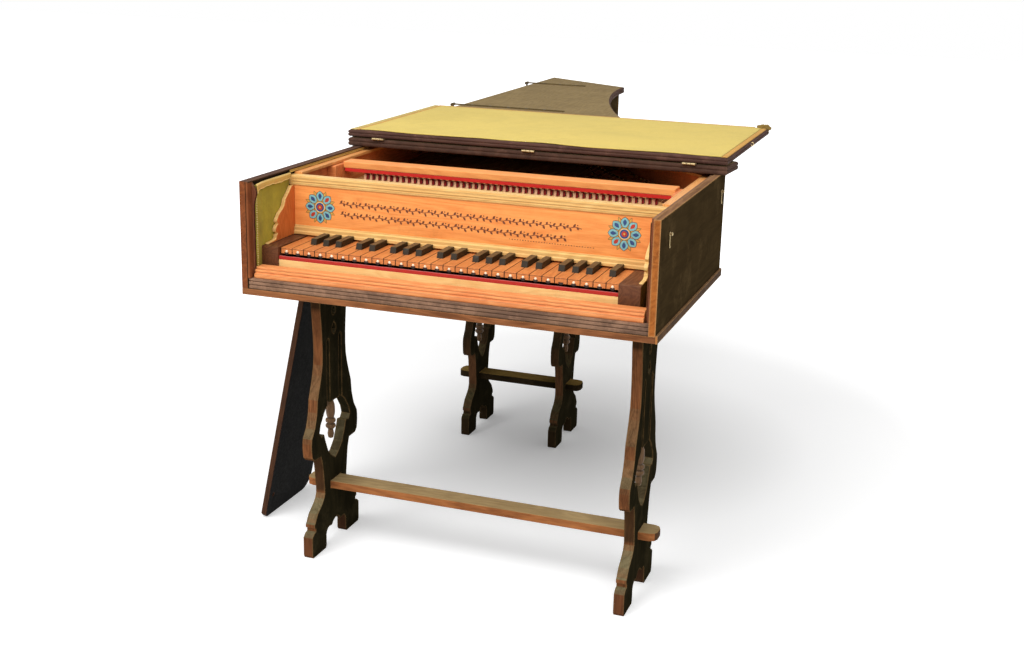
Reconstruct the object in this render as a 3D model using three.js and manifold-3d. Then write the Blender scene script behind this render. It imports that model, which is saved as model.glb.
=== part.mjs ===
// A harpsichord: an inner instrument in a dark outer case, with a lid and a folding front flap,
// on two cut-out trestles, and its music desk leaning under the case.
// Millimetres. X runs from the bass side to the treble side, Y from the keys to the tail, Z is up.

import * as THREE from 'three';
import { mergeVertices } from 'three/addons/utils/BufferGeometryUtils.js';
import Module from 'manifold-3d';

const wasm = await Module();
wasm.setup();

// Outer case
const caseWidth = 791;
const caseHeight = 213;
const spineLength = 1863;
const cheekLength = 532;
const tailWidth = 239;
const tailSlantDepth = 136;
const standHeight = 546;
const wallThick = 12.5;
const floorThick = 12;
const bentCheekShares = [0.51, 0.197];
const bentTailShares = [0.007, 0.312];
const bentSteps = 16;
const seatGap = 0.3;
const cutOverrun = 3;
const rootDepth = 1;

// Inner instrument
const liningClothThick = 1.5;
const innerLeft = wallThick + 2 * seatGap + liningClothThick;
const innerRightGap = 26;
const trebleWellGap = 15;
const innerTailGap = 30;
const innerSideThick = 6;
const innerSideHeight = 174;
const capHeight = 6;
const capWidth = 17;
const bandHeight = 19;

// Keyboard
const naturalCount = 28;
const firstLetter = 2;
const bassBlockWidth = 35.9;
const trebleBlockWidth = 41.5;
const keyFront = 60;
const keyBottomLift = 47;
const leverThick = 11;
const headLength = 45;
const keyGap = 0.8;
const sharpWidth = 11.7;
const sharpLength = 56;
const sharpRise = 11;
const balanceY = 235;
const leverEndY = 378;
const jackLineY = 360;
const firstJackInset = 34.5;
const lastJackInset = 18.14;
const leverWidth = 9.6;

// Lid and flap
const lidThick = 17;
const lidOverhang = 13;
const lidSetback = 56;
const flapThick = 14;
const flapFrontGap = 4;
const flapGap = 2.7;
const clothThick = 2;

// Trestles
const legThick = 20;
const legWidth = 208;
const rearLegWidth = 177;
const frontTrestleY = 160.5;
const rearTrestleShare = 0.4917;
const frontLegInset = 88;
const frontLegRightGap = 65;
const rearLegInset = 117;
const rearLegGap = 226;

const rearTrestleY = spineLength * rearTrestleShare;
const floorTop = standHeight + floorThick;
const caseTop = standHeight + caseHeight;
const innerFloorTop = floorTop + floorThick;
const innerRight = caseWidth - innerRightGap;
const innerTop = innerFloorTop + innerSideHeight;
const keyLeft = innerLeft + bassBlockWidth;
const wellRight = innerRight - trebleWellGap;
const keyRight = wellRight - trebleBlockWidth;
const keyPitch = (keyRight - keyLeft) / naturalCount;
const firstJackX = keyLeft + firstJackInset;
const lidFrontY = cheekLength - lidSetback;
const flapDepth = lidFrontY - flapFrontGap;

// Plan of the case: the curved bentside and the slanting tail
const cheekCorner = new THREE.Vector2(caseWidth, cheekLength);
const tailCorner = new THREE.Vector2(tailWidth, spineLength - tailSlantDepth);
const bentSpan = tailCorner.clone().sub(cheekCorner);
const bentHandle = (shares) => bentSpan.clone().multiply(new THREE.Vector2(...shares));
const bentCurve = new THREE.CubicBezierCurve(
  cheekCorner,
  cheekCorner.clone().add(bentHandle(bentCheekShares)),
  tailCorner.clone().sub(bentHandle(bentTailShares)),
  tailCorner,
);
const tailNormal = new THREE.Vector2(tailSlantDepth, tailWidth).normalize();

function point(x, y) {
  return new THREE.Vector2(x, y);
}

// How far a point lies outside the tail's outer face
function pastTail(place) {
  return tailNormal.dot(place) - tailNormal.dot(tailCorner);
}

function tailY(x, inset) {
  return (tailNormal.dot(tailCorner) - inset - tailNormal.x * x) / tailNormal.y;
}

// The bentside moved inwards by an inset, with both ends run on straight
function bentLine(inset) {
  const reach = 2 * Math.abs(inset) + wallThick;
  const places = [];
  for (let i = 0; i <= bentSteps; i += 1) {
    const share = i / bentSteps;
    const along = bentCurve.getTangent(share);
    const place = bentCurve.getPoint(share).sub(point(along.y, -along.x).multiplyScalar(inset));
    if (i === 0) {
      places.push(place.clone().addScaledVector(along, -reach));
    }
    places.push(place);
    if (i === bentSteps) {
      places.push(place.clone().addScaledVector(along, reach));
    }
  }
  return places;
}

// The stretch of a line of points where inside() isn't negative
function trim(places, inside) {
  const kept = [];
  places.forEach((place, i) => {
    const here = inside(place);
    const before = i > 0 ? inside(places[i - 1]) : here;
    if (here * before < 0) {
      kept.push(places[i - 1].clone().lerp(place, before / (before - here)));
    }
    if (here >= 0) {
      kept.push(place.clone());
    }
  });
  return kept;
}

function planOutline(left, right, tail, front) {
  const beforeCheek = trim(bentLine(right), (place) => caseWidth - right - place.x);
  const bent = trim(beforeCheek, (place) => -pastTail(place) - tail);
  return [point(left, front), point(caseWidth - right, front), ...bent, point(left, tailY(left, tail))];
}

// A bent board between two insets, from a cross line at startY to the tail line
function bentBoard(outer, inner, startY, tail) {
  const side = (inset) => {
    const behind = trim(bentLine(inset), (place) => place.y - startY);
    return trim(behind, (place) => -pastTail(place) - tail);
  };
  return [...side(outer), ...side(inner).reverse()];
}

// A strip that follows the cheek, bentside, tail and spine, open at the front
function wrapOutline(outset, gap, front) {
  const outer = planOutline(0, -outset, -outset, front).slice(1);
  const inner = planOutline(0, -gap, -gap, front).slice(1);
  return [...outer, ...inner.reverse()];
}

// Solids
function extruded(places, depth) {
  return new THREE.ExtrudeGeometry(new THREE.Shape(places), { depth, bevelEnabled: false });
}

function prismZ(places, low, high) {
  return extruded(places, high - low).translate(0, 0, low);
}

// Outline in Y and Z, run along X
function prismX(places, low, high) {
  const turn = new THREE.Matrix4().makeBasis(
    new THREE.Vector3(0, 1, 0),
    new THREE.Vector3(0, 0, 1),
    new THREE.Vector3(1, 0, 0),
  );
  return extruded(places, high - low).applyMatrix4(turn).translate(low, 0, 0);
}

// Outline in X and Z, run along Y
function prismY(places, low, high) {
  return extruded(places, high - low).rotateX(Math.PI / 2).translate(0, high, 0);
}

function block(x0, x1, y0, y1, z0, z1) {
  const solid = new THREE.BoxGeometry(x1 - x0, y1 - y0, z1 - z0);
  return solid.translate((x0 + x1) / 2, (y0 + y1) / 2, (z0 + z1) / 2);
}

function roundX(radius, x0, x1, y, z, sides) {
  const solid = new THREE.CylinderGeometry(radius, radius, x1 - x0, sides);
  return solid.rotateZ(Math.PI / 2).translate((x0 + x1) / 2, y, z);
}

function roundY(radius, y0, y1, x, z, sides) {
  return new THREE.CylinderGeometry(radius, radius, y1 - y0, sides).translate(x, (y0 + y1) / 2, z);
}

function plain(geometry) {
  const bare = geometry.index ? geometry.toNonIndexed() : geometry.clone();
  bare.deleteAttribute('normal');
  bare.deleteAttribute('uv');
  return bare;
}

function toManifold(geometry) {
  const merged = mergeVertices(plain(geometry));
  const corners = merged.index.array;
  const triangles = [];
  for (let i = 0; i < corners.length; i += 3) {
    const [a, b, c] = [corners[i], corners[i + 1], corners[i + 2]];
    if (a !== b && b !== c && c !== a) {
      triangles.push(a, b, c);
    }
  }
  return new wasm.Manifold(new wasm.Mesh({
    numProp: 3,
    vertProperties: new Float32Array(merged.attributes.position.array),
    triVerts: new Uint32Array(triangles),
  }));
}

function fromManifold(solid) {
  const mesh = solid.getMesh();
  const geometry = new THREE.BufferGeometry();
  geometry.setAttribute('position', new THREE.BufferAttribute(mesh.vertProperties, 3));
  geometry.setIndex(new THREE.BufferAttribute(mesh.triVerts, 1));
  return geometry.toNonIndexed();
}

function fuse(...geometries) {
  return fromManifold(geometries.map(toManifold).reduce((whole, next) => whole.add(next)));
}

function cut(geometry, ...tools) {
  const whole = toManifold(geometry);
  return fromManifold(tools.map(toManifold).reduce((rest, tool) => rest.subtract(tool), whole));
}

const model = new THREE.Group();

function addPart(name, geometry, finish, parent = model) {
  const bare = plain(geometry);
  bare.computeVertexNormals();
  const mesh = new THREE.Mesh(bare, finish);
  mesh.name = name;
  parent.add(mesh);
  return mesh;
}

function finishOf(color, roughness, metalness = 0) {
  return new THREE.MeshStandardMaterial({ color, roughness, metalness });
}

const darkPaint = finishOf(0x33281d, 0.6);
const lidPaint = finishOf(0x4a3530, 0.55);
const cypress = finishOf(0xd98a4a, 0.5);
const paleWood = finishOf(0xe6c27e, 0.5);
const walnut = finishOf(0x64412b, 0.5);
const keyWood = finishOf(0xd9a064, 0.45);
const sharpWood = finishOf(0x3b2c22, 0.45);
const redFelt = finishOf(0xb3232b, 0.95);
const iron = finishOf(0x4b463c, 0.5, 1);
const oliveCloth = finishOf(0x8f8a34, 0.95);
const yellowCloth = finishOf(0xcdb659, 0.95);
const stainedOak = finishOf(0x3f3123, 0.6);

// Two studs in the cheek, on which the hooks hang
const studDrop = 35;
const studZ = caseTop - studDrop;
const frontHookY = 62;
const rearHookSetback = 36;
const hookYs = [frontHookY, cheekLength - rearHookSetback];
const studRadius = 1.6;
const studLength = 3.4;
const studSides = 12;
function studSolid(y) {
  const headRadius = 3;
  const headThick = 1.4;
  const neckEnd = caseWidth + studLength;
  return fuse(
    roundX(studRadius, caseWidth - cutOverrun, neckEnd + headThick, y, studZ, studSides),
    roundX(headRadius, neckEnd, neckEnd + headThick, y, studZ, studSides),
  );
}

// Outer case: a floor, four walls standing on it, and a moulding round the foot
function buildCase() {
  addPart('case_bottom', prismZ(planOutline(0, 0, 0, 0), standHeight, floorTop), darkPaint);
  const spine = [
    point(0, 0),
    point(wallThick, 0),
    point(wallThick, tailY(wallThick, 0)),
    point(0, tailY(0, 0)),
  ];
  addPart('case_spine', prismZ(spine, floorTop, caseTop), darkPaint);
  const cheek = block(caseWidth - wallThick, caseWidth, 0, cheekLength, floorTop, caseTop);
  addPart('case_cheek', fuse(cheek, ...hookYs.map(studSolid)), darkPaint);
  const bent = bentBoard(0, wallThick, cheekLength + seatGap, wallThick + seatGap);
  addPart('case_bentside', prismZ(bent, floorTop, caseTop), darkPaint);
  const tailLeft = wallThick + seatGap;
  const tailFoot = trim(bentLine(0), (place) => -pastTail(place) - wallThick).pop();
  const tail = [
    point(tailLeft, tailY(tailLeft, wallThick)),
    tailFoot,
    tailCorner,
    point(tailLeft, tailY(tailLeft, 0)),
  ];
  addPart('case_tail', prismZ(tail, floorTop, caseTop), darkPaint);
  const mouldingOut = 4;
  const mouldingHeight = 14;
  const foot = wrapOutline(mouldingOut, seatGap, 0);
  const moulding = prismZ(foot, standHeight, standHeight + mouldingHeight);
  addPart('case_base_moulding', moulding, stainedOak);
}

// A dark grooved band closes the front of the case under the keys
const bandFront = 4;
const bandThick = 12;
function buildFrontBand() {
  const grooveDepth = 3;
  const grooveHalf = 1.2;
  const grooveShares = [0.37, 0.74];
  const back = bandFront + bandThick;
  const places = [point(back, floorTop), point(bandFront, floorTop)];
  grooveShares.forEach((share) => {
    const middle = floorTop + bandHeight * share;
    places.push(point(bandFront, middle - grooveHalf));
    places.push(point(bandFront + grooveDepth, middle));
    places.push(point(bandFront, middle + grooveHalf));
  });
  places.push(point(bandFront, floorTop + bandHeight));
  places.push(point(back, floorTop + bandHeight));
  addPart('front_band', prismX(places, wallThick, caseWidth - wallThick), darkPaint);
}

// Boards that line the front of the case walls, and the cloth glued to them
const liningThick = 7.7;
const innerFront = bandFront + bandThick + seatGap;
function buildLinings() {
  const liningFront = innerFront;
  const liningBackGap = 15.7;
  const liningDrop = 2;
  const top = caseTop - liningDrop;
  const clothBack = nameboardY - topBandOut - 2 * seatGap;
  const clothBottom = floorTop + bandHeight + seatGap;
  const leftFace = wallThick + liningThick;
  const rightFace = caseWidth - wallThick - liningThick;
  const liningBack = cheekLength - liningBackGap;
  const stripBack = liningFront + liningThick;
  const strip = block(wallThick, leftFace, liningFront, stripBack, innerFloorTop, top);
  addPart('front_lining_bass', strip, darkPaint);
  const board = block(rightFace, caseWidth - wallThick, liningFront, liningBack, floorTop, top);
  addPart('front_lining_treble', board, darkPaint);
  const addCloth = (name, left, front) => {
    const right = left + liningClothThick;
    addPart(name, block(left, right, front, clothBack, clothBottom, top), oliveCloth);
  };
  addCloth('lining_cloth_bass', wallThick + seatGap, stripBack + seatGap);
  addCloth('lining_cloth_treble', rightFace - seatGap - liningClothThick, liningFront);
}

// Inner instrument: its own floor, thin sides and the mouldings that cap them
const nameboardY = 169;
const topBandOut = 5;
const nameboardThick = 9;
const sideSetback = 6;
const innerSideFront = nameboardY + nameboardThick + sideSetback;
function buildInnerBody() {
  const floor = planOutline(innerLeft, innerRightGap, innerTailGap, innerFront);
  addPart('inner_bottom', prismZ(floor, floorTop, innerFloorTop), cypress);
  const leftInside = innerLeft + innerSideThick;
  const rightInside = innerRight - innerSideThick;
  const bentStart = trim(bentLine(innerRightGap), (place) => innerRight - place.x)[0].y;
  const tailInside = innerTailGap + innerSideThick;
  const spineSide = [
    point(innerLeft, innerSideFront),
    point(leftInside, innerSideFront),
    point(leftInside, tailY(leftInside, innerTailGap)),
    point(innerLeft, tailY(innerLeft, innerTailGap)),
  ];
  addPart('inner_spine_side', prismZ(spineSide, innerFloorTop, innerTop), cypress);
  const cheekSide = block(rightInside, innerRight, innerSideFront, bentStart, innerFloorTop, innerTop);
  addPart('inner_cheek_side', cheekSide, cypress);
  const bentInside = innerRightGap + innerSideThick;
  const bentSide = bentBoard(innerRightGap, bentInside, bentStart + seatGap, tailInside + seatGap);
  const corner = trim(bentLine(innerRightGap), (place) => -pastTail(place) - innerTailGap).pop();
  const cornerFoot = trim(bentLine(innerRightGap), (place) => -pastTail(place) - tailInside).pop();
  const tailLeft = leftInside + seatGap;
  const tailSide = [
    point(tailLeft, tailY(tailLeft, tailInside)),
    cornerFoot,
    corner,
    point(tailLeft, tailY(tailLeft, innerTailGap)),
  ];
  addPart('inner_bentside', prismZ(bentSide, innerFloorTop, innerTop), cypress);
  addPart('inner_tail', prismZ(tailSide, innerFloorTop, innerTop), cypress);
  const capOuter = planOutline(innerLeft, innerRightGap, innerTailGap, innerSideFront);
  const capInner = planOutline(
    innerLeft + capWidth, innerRightGap + capWidth, innerTailGap + capWidth, innerSideFront,
  );
  const cap = [...capOuter.slice(1), capOuter[0], capInner[0], ...capInner.slice(1).reverse()];
  addPart('cap_moulding', prismZ(cap, innerTop, innerTop + capHeight), paleWood);
}

const keyBottom = innerFloorTop + keyBottomLift;
const keyTop = keyBottom + leverThick;
const blockRise = 2;
const blockTop = keyTop + blockRise;

// Key blocks, slip and moulding in front of the keys
const blockFront = 50;
const blockGap = 1.2;
function buildKeySurround() {
  const blockBack = nameboardY - seatGap;
  const leftIn = keyLeft - blockGap;
  const rightIn = keyRight + blockGap;
  const addBlock = (name, left, right) => {
    addPart(name, block(left, right, blockFront, blockBack, innerFloorTop, blockTop), walnut);
  };
  addBlock('key_block_bass', innerLeft, leftIn);
  addBlock('key_block_treble', rightIn, wellRight);
  const slipFront = 53;
  const slipThick = 5.5;
  const slipDrop = 10.5;
  const slipTop = keyBottom - slipDrop;
  const feltHeight = 4.8;
  const slipBack = slipFront + slipThick;
  const slipLeft = leftIn + seatGap;
  const slipRight = rightIn - seatGap;
  addPart('key_slip', block(slipLeft, slipRight, slipFront, slipBack, innerFloorTop, slipTop), paleWood);
  const felt = block(slipLeft, slipRight, slipFront, slipBack, slipTop + seatGap, slipTop + feltHeight);
  addPart('key_slip_felt', felt, redFelt);
  const mouldingLeft = 21;
  const mouldingRightGap = 24;
  const mouldingRight = caseWidth - mouldingRightGap;
  const mouldingBack = 40;
  const mouldingFront = 10;
  const mouldingRise = 27;
  const mouldingTop = innerFloorTop + mouldingRise;
  const bandTop = floorTop + bandHeight + seatGap;
  const rise = mouldingTop - bandTop;
  const run = mouldingBack - mouldingFront;
  const frontShares = [
    [0.02, 0], [0, 0.1], [0, 0.34], [0.04, 0.43], [0.17, 0.46], [0.19, 0.52], [0.13, 0.58],
    [0.13, 0.74], [0.21, 0.8], [0.29, 0.82], [0.29, 0.95], [0.34, 1],
  ];
  const profile = [
    point(mouldingBack, mouldingTop),
    point(mouldingBack, innerFloorTop),
    point(innerFront, innerFloorTop),
    point(innerFront, bandTop),
    ...frontShares.map(([y, z]) => point(mouldingFront + run * y, bandTop + rise * z)),
  ];
  addPart('key_slip_moulding', prismX(profile, mouldingLeft, mouldingRight), cypress);
}

// Scroll cheeks stand on the key blocks and hold the ends of the nameboard
const scrollThick = 8;
const nameboardHeight = 96;
function scrollOutline() {
  const back = innerSideFront - seatGap;
  const low = blockTop + seatGap;
  const depth = back - keyFront;
  const high = low + nameboardHeight;
  const toePlace = (y, z) => point(keyFront + depth * y, low + nameboardHeight * z);
  const sweepShares = [
    [0.79, 1], [0.695, 0.885], [0.59, 0.78], [0.545, 0.66], [0.5, 0.605], [0.41, 0.545], [0.35, 0.48],
  ];
  const beadShares = [
    [0.31, 0.43], [0.3, 0.385], [0.345, 0.335], [0.29, 0.295], [0.26, 0.245], [0.27, 0.185], [0.325, 0.15],
  ];
  const toeShares = [[0.29, 0.11], [0.285, 0.06], [0.22, 0.03], [0.04, 0.02], [0.03, 0]];
  const places = [...sweepShares, ...beadShares, ...toeShares].map(([y, z]) => toePlace(y, z));
  return [point(back, low), point(back, high), ...places];
}

function buildNameboard() {
  const leftIn = innerLeft + scrollThick;
  const rightIn = wellRight - scrollThick;
  addPart('scroll_cheek_bass', prismX(scrollOutline(), innerLeft, leftIn), paleWood);
  addPart('scroll_cheek_treble', prismX(scrollOutline(), rightIn, wellRight), paleWood);
  const left = leftIn + seatGap;
  const right = rightIn - seatGap;
  const lowEdge = blockTop + seatGap;
  const topEdge = lowEdge + nameboardHeight;
  const lowBandHeight = 19;
  const topBandHeight = 20;
  const lowBandOut = 6;
  const back = nameboardY + nameboardThick;
  addPart('nameboard', block(left, right, nameboardY, back, lowEdge, topEdge), cypress);
  const lowShares = [[0.35, 0], [1, 0.08], [1, 0.35], [0.75, 0.45], [0.75, 0.75], [0.3, 0.85], [0.3, 1]];
  const topShares = [[0.3, 0], [0.6, 0.12], [0.6, 0.35], [0.85, 0.45], [0.85, 0.65], [1, 0.7], [1, 1]];
  const lowFace = nameboardY - seatGap;
  const lowProfile = [
    point(lowFace, lowEdge + lowBandHeight),
    point(lowFace, lowEdge),
    ...lowShares.map(([y, z]) => point(lowFace - lowBandOut * y, lowEdge + lowBandHeight * z)),
  ];
  const topFoot = topEdge + seatGap;
  const topRise = topBandHeight - seatGap;
  const topProfile = [
    point(innerSideFront - seatGap, topFoot + topRise),
    point(innerSideFront - seatGap, topFoot),
    point(nameboardY, topFoot),
    ...topShares.map(([y, z]) => point(nameboardY - topBandOut * y, topFoot + topRise * z)),
  ];
  addPart('nameboard_lower_moulding', prismX(lowProfile, left, right), paleWood);
  const topLeft = wallThick + seatGap;
  const topRight = innerRight - seatGap;
  addPart('nameboard_upper_moulding', prismX(topProfile, topLeft, topRight), paleWood);
}

// Key frame: a low frame with the balance rail and the back rail on it
const stripDrop = 3.3;
const stripThick = 2.7;
function buildKeyFrame() {
  const frameFront = 64;
  const frameHeight = 14;
  const railWidth = 22;
  const sideWidth = 26;
  const base = innerFloorTop;
  const baseTop = base + frameHeight;
  const railTop = keyBottom - seatGap;
  const balanceTop = keyBottom - stripDrop - seatGap;
  const backRailFront = leverEndY - railWidth;
  const balanceFront = balanceY - railWidth / 2;
  const balanceBack = balanceY + railWidth / 2;
  const railFoot = baseTop - rootDepth;
  const opening = (y0, y1) => block(
    keyLeft + sideWidth, keyRight - sideWidth, y0, y1, base - cutOverrun, baseTop + cutOverrun,
  );
  const frame = cut(
    block(keyLeft, keyRight, frameFront, leverEndY, base, baseTop),
    opening(frameFront + railWidth, balanceFront),
    opening(balanceBack, backRailFront),
  );
  addPart('key_frame', fuse(
    frame,
    block(keyLeft, keyRight, balanceFront, balanceBack, railFoot, balanceTop),
    block(keyLeft, keyRight, backRailFront, leverEndY, railFoot, railTop),
  ), paleWood);
}

// Which naturals have a sharp on their right, counting C as letter 0
const lettersInOctave = 7;
const sharpShiftShares = { 0: -0.08, 1: 0.08, 3: -0.1, 4: 0, 5: 0.1 };

function listKeys() {
  const keys = [];
  const sharpCentre = (i) => {
    const letter = (i + firstLetter) % lettersInOctave;
    const exists = letter in sharpShiftShares && i >= 0 && i < naturalCount - 1;
    return exists ? keyLeft + (i + 1) * keyPitch + sharpShiftShares[letter] * keyPitch : null;
  };
  for (let i = 0; i < naturalCount; i += 1) {
    const headLeft = keyLeft + i * keyPitch + keyGap / 2;
    const headRight = headLeft + keyPitch - keyGap;
    const before = sharpCentre(i - 1);
    const after = sharpCentre(i);
    const cheek = sharpWidth / 2 + keyGap;
    const tailLeft = before === null ? headLeft : before + cheek;
    const tailRight = after === null ? headRight : after - cheek;
    keys.push({ sharp: false, headLeft, headRight, tailLeft, tailRight });
    if (after !== null) {
      keys.push({ sharp: true, tailLeft: after - sharpWidth / 2, tailRight: after + sharpWidth / 2 });
    }
  }
  return keys;
}

const keys = listKeys();
const headBack = keyFront + headLength;
const jackPitch = (keyRight - lastJackInset - firstJackX) / (keys.length - 1);
const jackX = (i) => firstJackX + i * jackPitch;

function naturalSolid(key, i) {
  return prismZ([
    point(key.headLeft, keyFront),
    point(key.headRight, keyFront),
    point(key.headRight, headBack - keyGap),
    point(key.tailRight, headBack - keyGap),
    point(key.tailRight, nameboardY),
    point(jackX(i) + leverWidth / 2, leverEndY),
    point(jackX(i) - leverWidth / 2, leverEndY),
    point(key.tailLeft, nameboardY),
    point(key.tailLeft, headBack - keyGap),
    point(key.headLeft, headBack - keyGap),
  ], keyBottom, keyTop);
}

// A sharp's lever, and the raised block on it with a sloping front
function sharpSolid(key, i) {
  const lever = prismZ([
    point(key.tailLeft, headBack),
    point(key.tailRight, headBack),
    point(key.tailRight, nameboardY),
    point(jackX(i) + leverWidth / 2, leverEndY),
    point(jackX(i) - leverWidth / 2, leverEndY),
    point(key.tailLeft, nameboardY),
  ], keyBottom, keyTop);
  const noseShare = 0.33;
  const noseRun = sharpRise * noseShare;
  const raised = prismX([
    point(headBack, keyTop - rootDepth),
    point(headBack + sharpLength, keyTop - rootDepth),
    point(headBack + sharpLength, keyTop + sharpRise),
    point(headBack + noseRun, keyTop + sharpRise),
    point(headBack, keyTop),
  ], key.tailLeft, key.tailRight);
  return fuse(lever, raised);
}

// A comb outline: a strip from near to far, with a tooth that reaches root at each middle
function combOutline(middles, toothHalf, endRun, far, near, root) {
  const first = middles[0] - endRun;
  const last = middles[middles.length - 1] + endRun;
  const teeth = [...middles].reverse().flatMap((x) => [
    point(x + toothHalf, near),
    point(x + toothHalf, root),
    point(x - toothHalf, root),
    point(x - toothHalf, near),
  ]);
  return [point(first, far), point(last, far), point(last, near), ...teeth, point(first, near)];
}

const toothShare = 0.33;

// The keys of one colour move as one, so a strip under them at the balance point joins them
function keyStrip(group, stripFront) {
  const stripWidth = 5;
  const low = keyBottom - stripDrop;
  const share = (balanceY - nameboardY) / (leverEndY - nameboardY);
  const middles = group.map(({ key, i }) => {
    const tailMiddle = (key.tailLeft + key.tailRight) / 2;
    return tailMiddle + (jackX(i) - tailMiddle) * share;
  });
  const toothHalf = leverWidth * toothShare;
  const comb = combOutline(
    middles, toothHalf, leverWidth / 2, low, low + stripThick, keyBottom + rootDepth,
  );
  return prismY(comb, stripFront, stripFront + stripWidth);
}

const jackThick = 5;
const jackDepth = 12;
const jackDrop = 19;
const jackTop = innerTop - jackDrop;
function jackSolid(i) {
  return block(
    jackX(i) - jackThick / 2,
    jackX(i) + jackThick / 2,
    jackLineY - jackDepth / 2,
    jackLineY + jackDepth / 2,
    keyTop + seatGap,
    jackTop,
  );
}

// Low down, a strip in front of or behind the row joins the jacks that rise together
function jackStrip(group, side) {
  const stripThin = 2;
  const stripClear = 1;
  const stripLift = 24;
  const stripHeight = 6;
  const low = keyTop + stripLift;
  const face = jackLineY + (side * jackDepth) / 2;
  const near = face + side * stripClear;
  const far = near + side * stripThin;
  const middles = group.map(({ i }) => jackX(i));
  const toothHalf = jackThick * toothShare;
  const comb = combOutline(middles, toothHalf, toothHalf, far, near, face - side * rootDepth);
  return prismZ(comb, low, low + stripHeight);
}

function buildKeysAndJacks() {
  const stripShift = 2;
  const stripReach = 7;
  const listed = keys.map((key, i) => ({ key, i }));
  const naturals = listed.filter(({ key }) => !key.sharp);
  const sharps = listed.filter(({ key }) => key.sharp);
  const naturalStrip = keyStrip(naturals, balanceY - stripReach);
  const sharpStrip = keyStrip(sharps, balanceY + stripShift);
  const naturalSolids = naturals.map(({ key, i }) => naturalSolid(key, i));
  const sharpSolids = sharps.map(({ key, i }) => sharpSolid(key, i));
  const jacksOf = (group) => group.map(({ i }) => jackSolid(i));
  addPart('natural_keys', fuse(...naturalSolids, naturalStrip), keyWood);
  addPart('sharp_keys', fuse(...sharpSolids, sharpStrip), sharpWood);
  addPart('natural_jacks', fuse(...jacksOf(naturals), jackStrip(naturals, -1)), paleWood);
  addPart('sharp_jacks', fuse(...jacksOf(sharps), jackStrip(sharps, 1)), paleWood);
}

// Action parts that stay still: wrest plank, nut, jack guide and jack rail
const plankDrop = 46;
const plankTop = innerTop - plankDrop;
const plankBack = 340;
const bridgeDrop = 32;
const bridgeTop = innerTop - bridgeDrop;
function buildAction() {
  const left = innerLeft + innerSideThick + seatGap;
  const right = innerRight - innerSideThick - seatGap;
  const plankThick = 36;
  const plankFront = 192;
  const plankBottom = plankTop - plankThick;
  addPart('wrest_plank', block(left, right, plankFront, plankBack, plankBottom, plankTop), walnut);
  const nutWidth = 9;
  const nutBassY = 296;
  const nutTrebleY = 318;
  const nutLeft = firstJackX - jackPitch;
  const nutRight = jackX(keys.length);
  addPart('nut', prismZ([
    point(nutLeft, nutBassY),
    point(nutRight, nutTrebleY),
    point(nutRight, nutTrebleY + nutWidth),
    point(nutLeft, nutBassY + nutWidth),
  ], plankTop, bridgeTop), walnut);
  const guideThick = 11;
  const guideDrop = 4;
  const guideTop = plankTop - guideDrop;
  const guideFront = plankBack + seatGap;
  const guideBack = 2 * jackLineY - guideFront;
  const slotX = jackThick / 2 + seatGap;
  const slotY = jackDepth / 2 + seatGap;
  const slots = keys.map((key, i) => block(
    jackX(i) - slotX,
    jackX(i) + slotX,
    jackLineY - slotY,
    jackLineY + slotY,
    guideTop - guideThick - cutOverrun,
    guideTop + cutOverrun,
  ));
  const guide = block(left, right, guideFront, guideBack, guideTop - guideThick, guideTop);
  addPart('jack_guide', cut(guide, ...slots), cypress);
  const railFront = 345;
  const railBack = 385;
  const railBassInset = 25.4;
  const railTrebleInset = 32;
  const railRise = 4;
  const railThick = 13;
  const railLeft = innerLeft + railBassInset;
  const railRight = innerRight - railTrebleInset;
  const railTop = innerTop + railRise;
  const railBottom = railTop - railThick;
  const railFeltDrop = 4;
  const feltInset = 4;
  const bracketFront = 312;
  addPart('jack_rail', block(railLeft, railRight, railFront, railBack, railBottom, railTop), cypress);
  const feltTop = railBottom - seatGap;
  const railFelt = block(
    railLeft + feltInset,
    railRight - feltInset,
    railFront + feltInset,
    jackLineY + jackDepth,
    feltTop - railFeltDrop,
    feltTop,
  );
  addPart('jack_rail_felt', railFelt, redFelt);
  const bracketDrop = 5;
  const bracketTop = railTop - bracketDrop;
  const bracketBase = plankTop + seatGap;
  const addBracket = (name, x0, x1) => {
    addPart(name, block(x0, x1, bracketFront, railBack, bracketBase, bracketTop), cypress);
  };
  addBracket('jack_rail_bracket_bass', left, railLeft - seatGap);
  addBracket('jack_rail_bracket_treble', railRight + seatGap, right);
}

// Belly rail, soundboard and bridge behind the jacks
const bellyFront = 386;
function buildSoundboard() {
  const left = innerLeft + innerSideThick + seatGap;
  const rightInset = innerRightGap + innerSideThick + seatGap;
  const tailInset = innerTailGap + innerSideThick + seatGap;
  const bellyThick = 16;
  const boardThick = 3;
  const boardDrop = 2;
  const boardTop = plankTop - boardDrop;
  const boardBottom = boardTop - boardThick;
  const right = caseWidth - rightInset;
  const bellyBack = bellyFront + bellyThick;
  addPart('belly_rail', block(left, right, bellyFront, bellyBack, innerFloorTop, boardBottom), walnut);
  const board = planOutline(left, rightInset, tailInset, bellyFront);
  addPart('soundboard', prismZ(board, boardBottom, boardTop), cypress);
  const bridgeInset = 112;
  const bridgeWidth = 10;
  const bassEndX = firstJackX - jackPitch;
  const trebleEndX = jackX(keys.length);
  const endTurn = 62;
  const along = (inset) => {
    const cheekEnd = trim(bentLine(inset), (place) => trebleEndX - place.x);
    const tailEnd = trim(cheekEnd, (place) => -pastTail(place) - inset - endTurn);
    return [...tailEnd, point(bassEndX, tailY(bassEndX, inset))];
  };
  const bridge = [...along(bridgeInset), ...along(bridgeInset + bridgeWidth).reverse()];
  addPart('bridge', prismZ(bridge, boardTop, bridgeTop), walnut);
}

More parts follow.
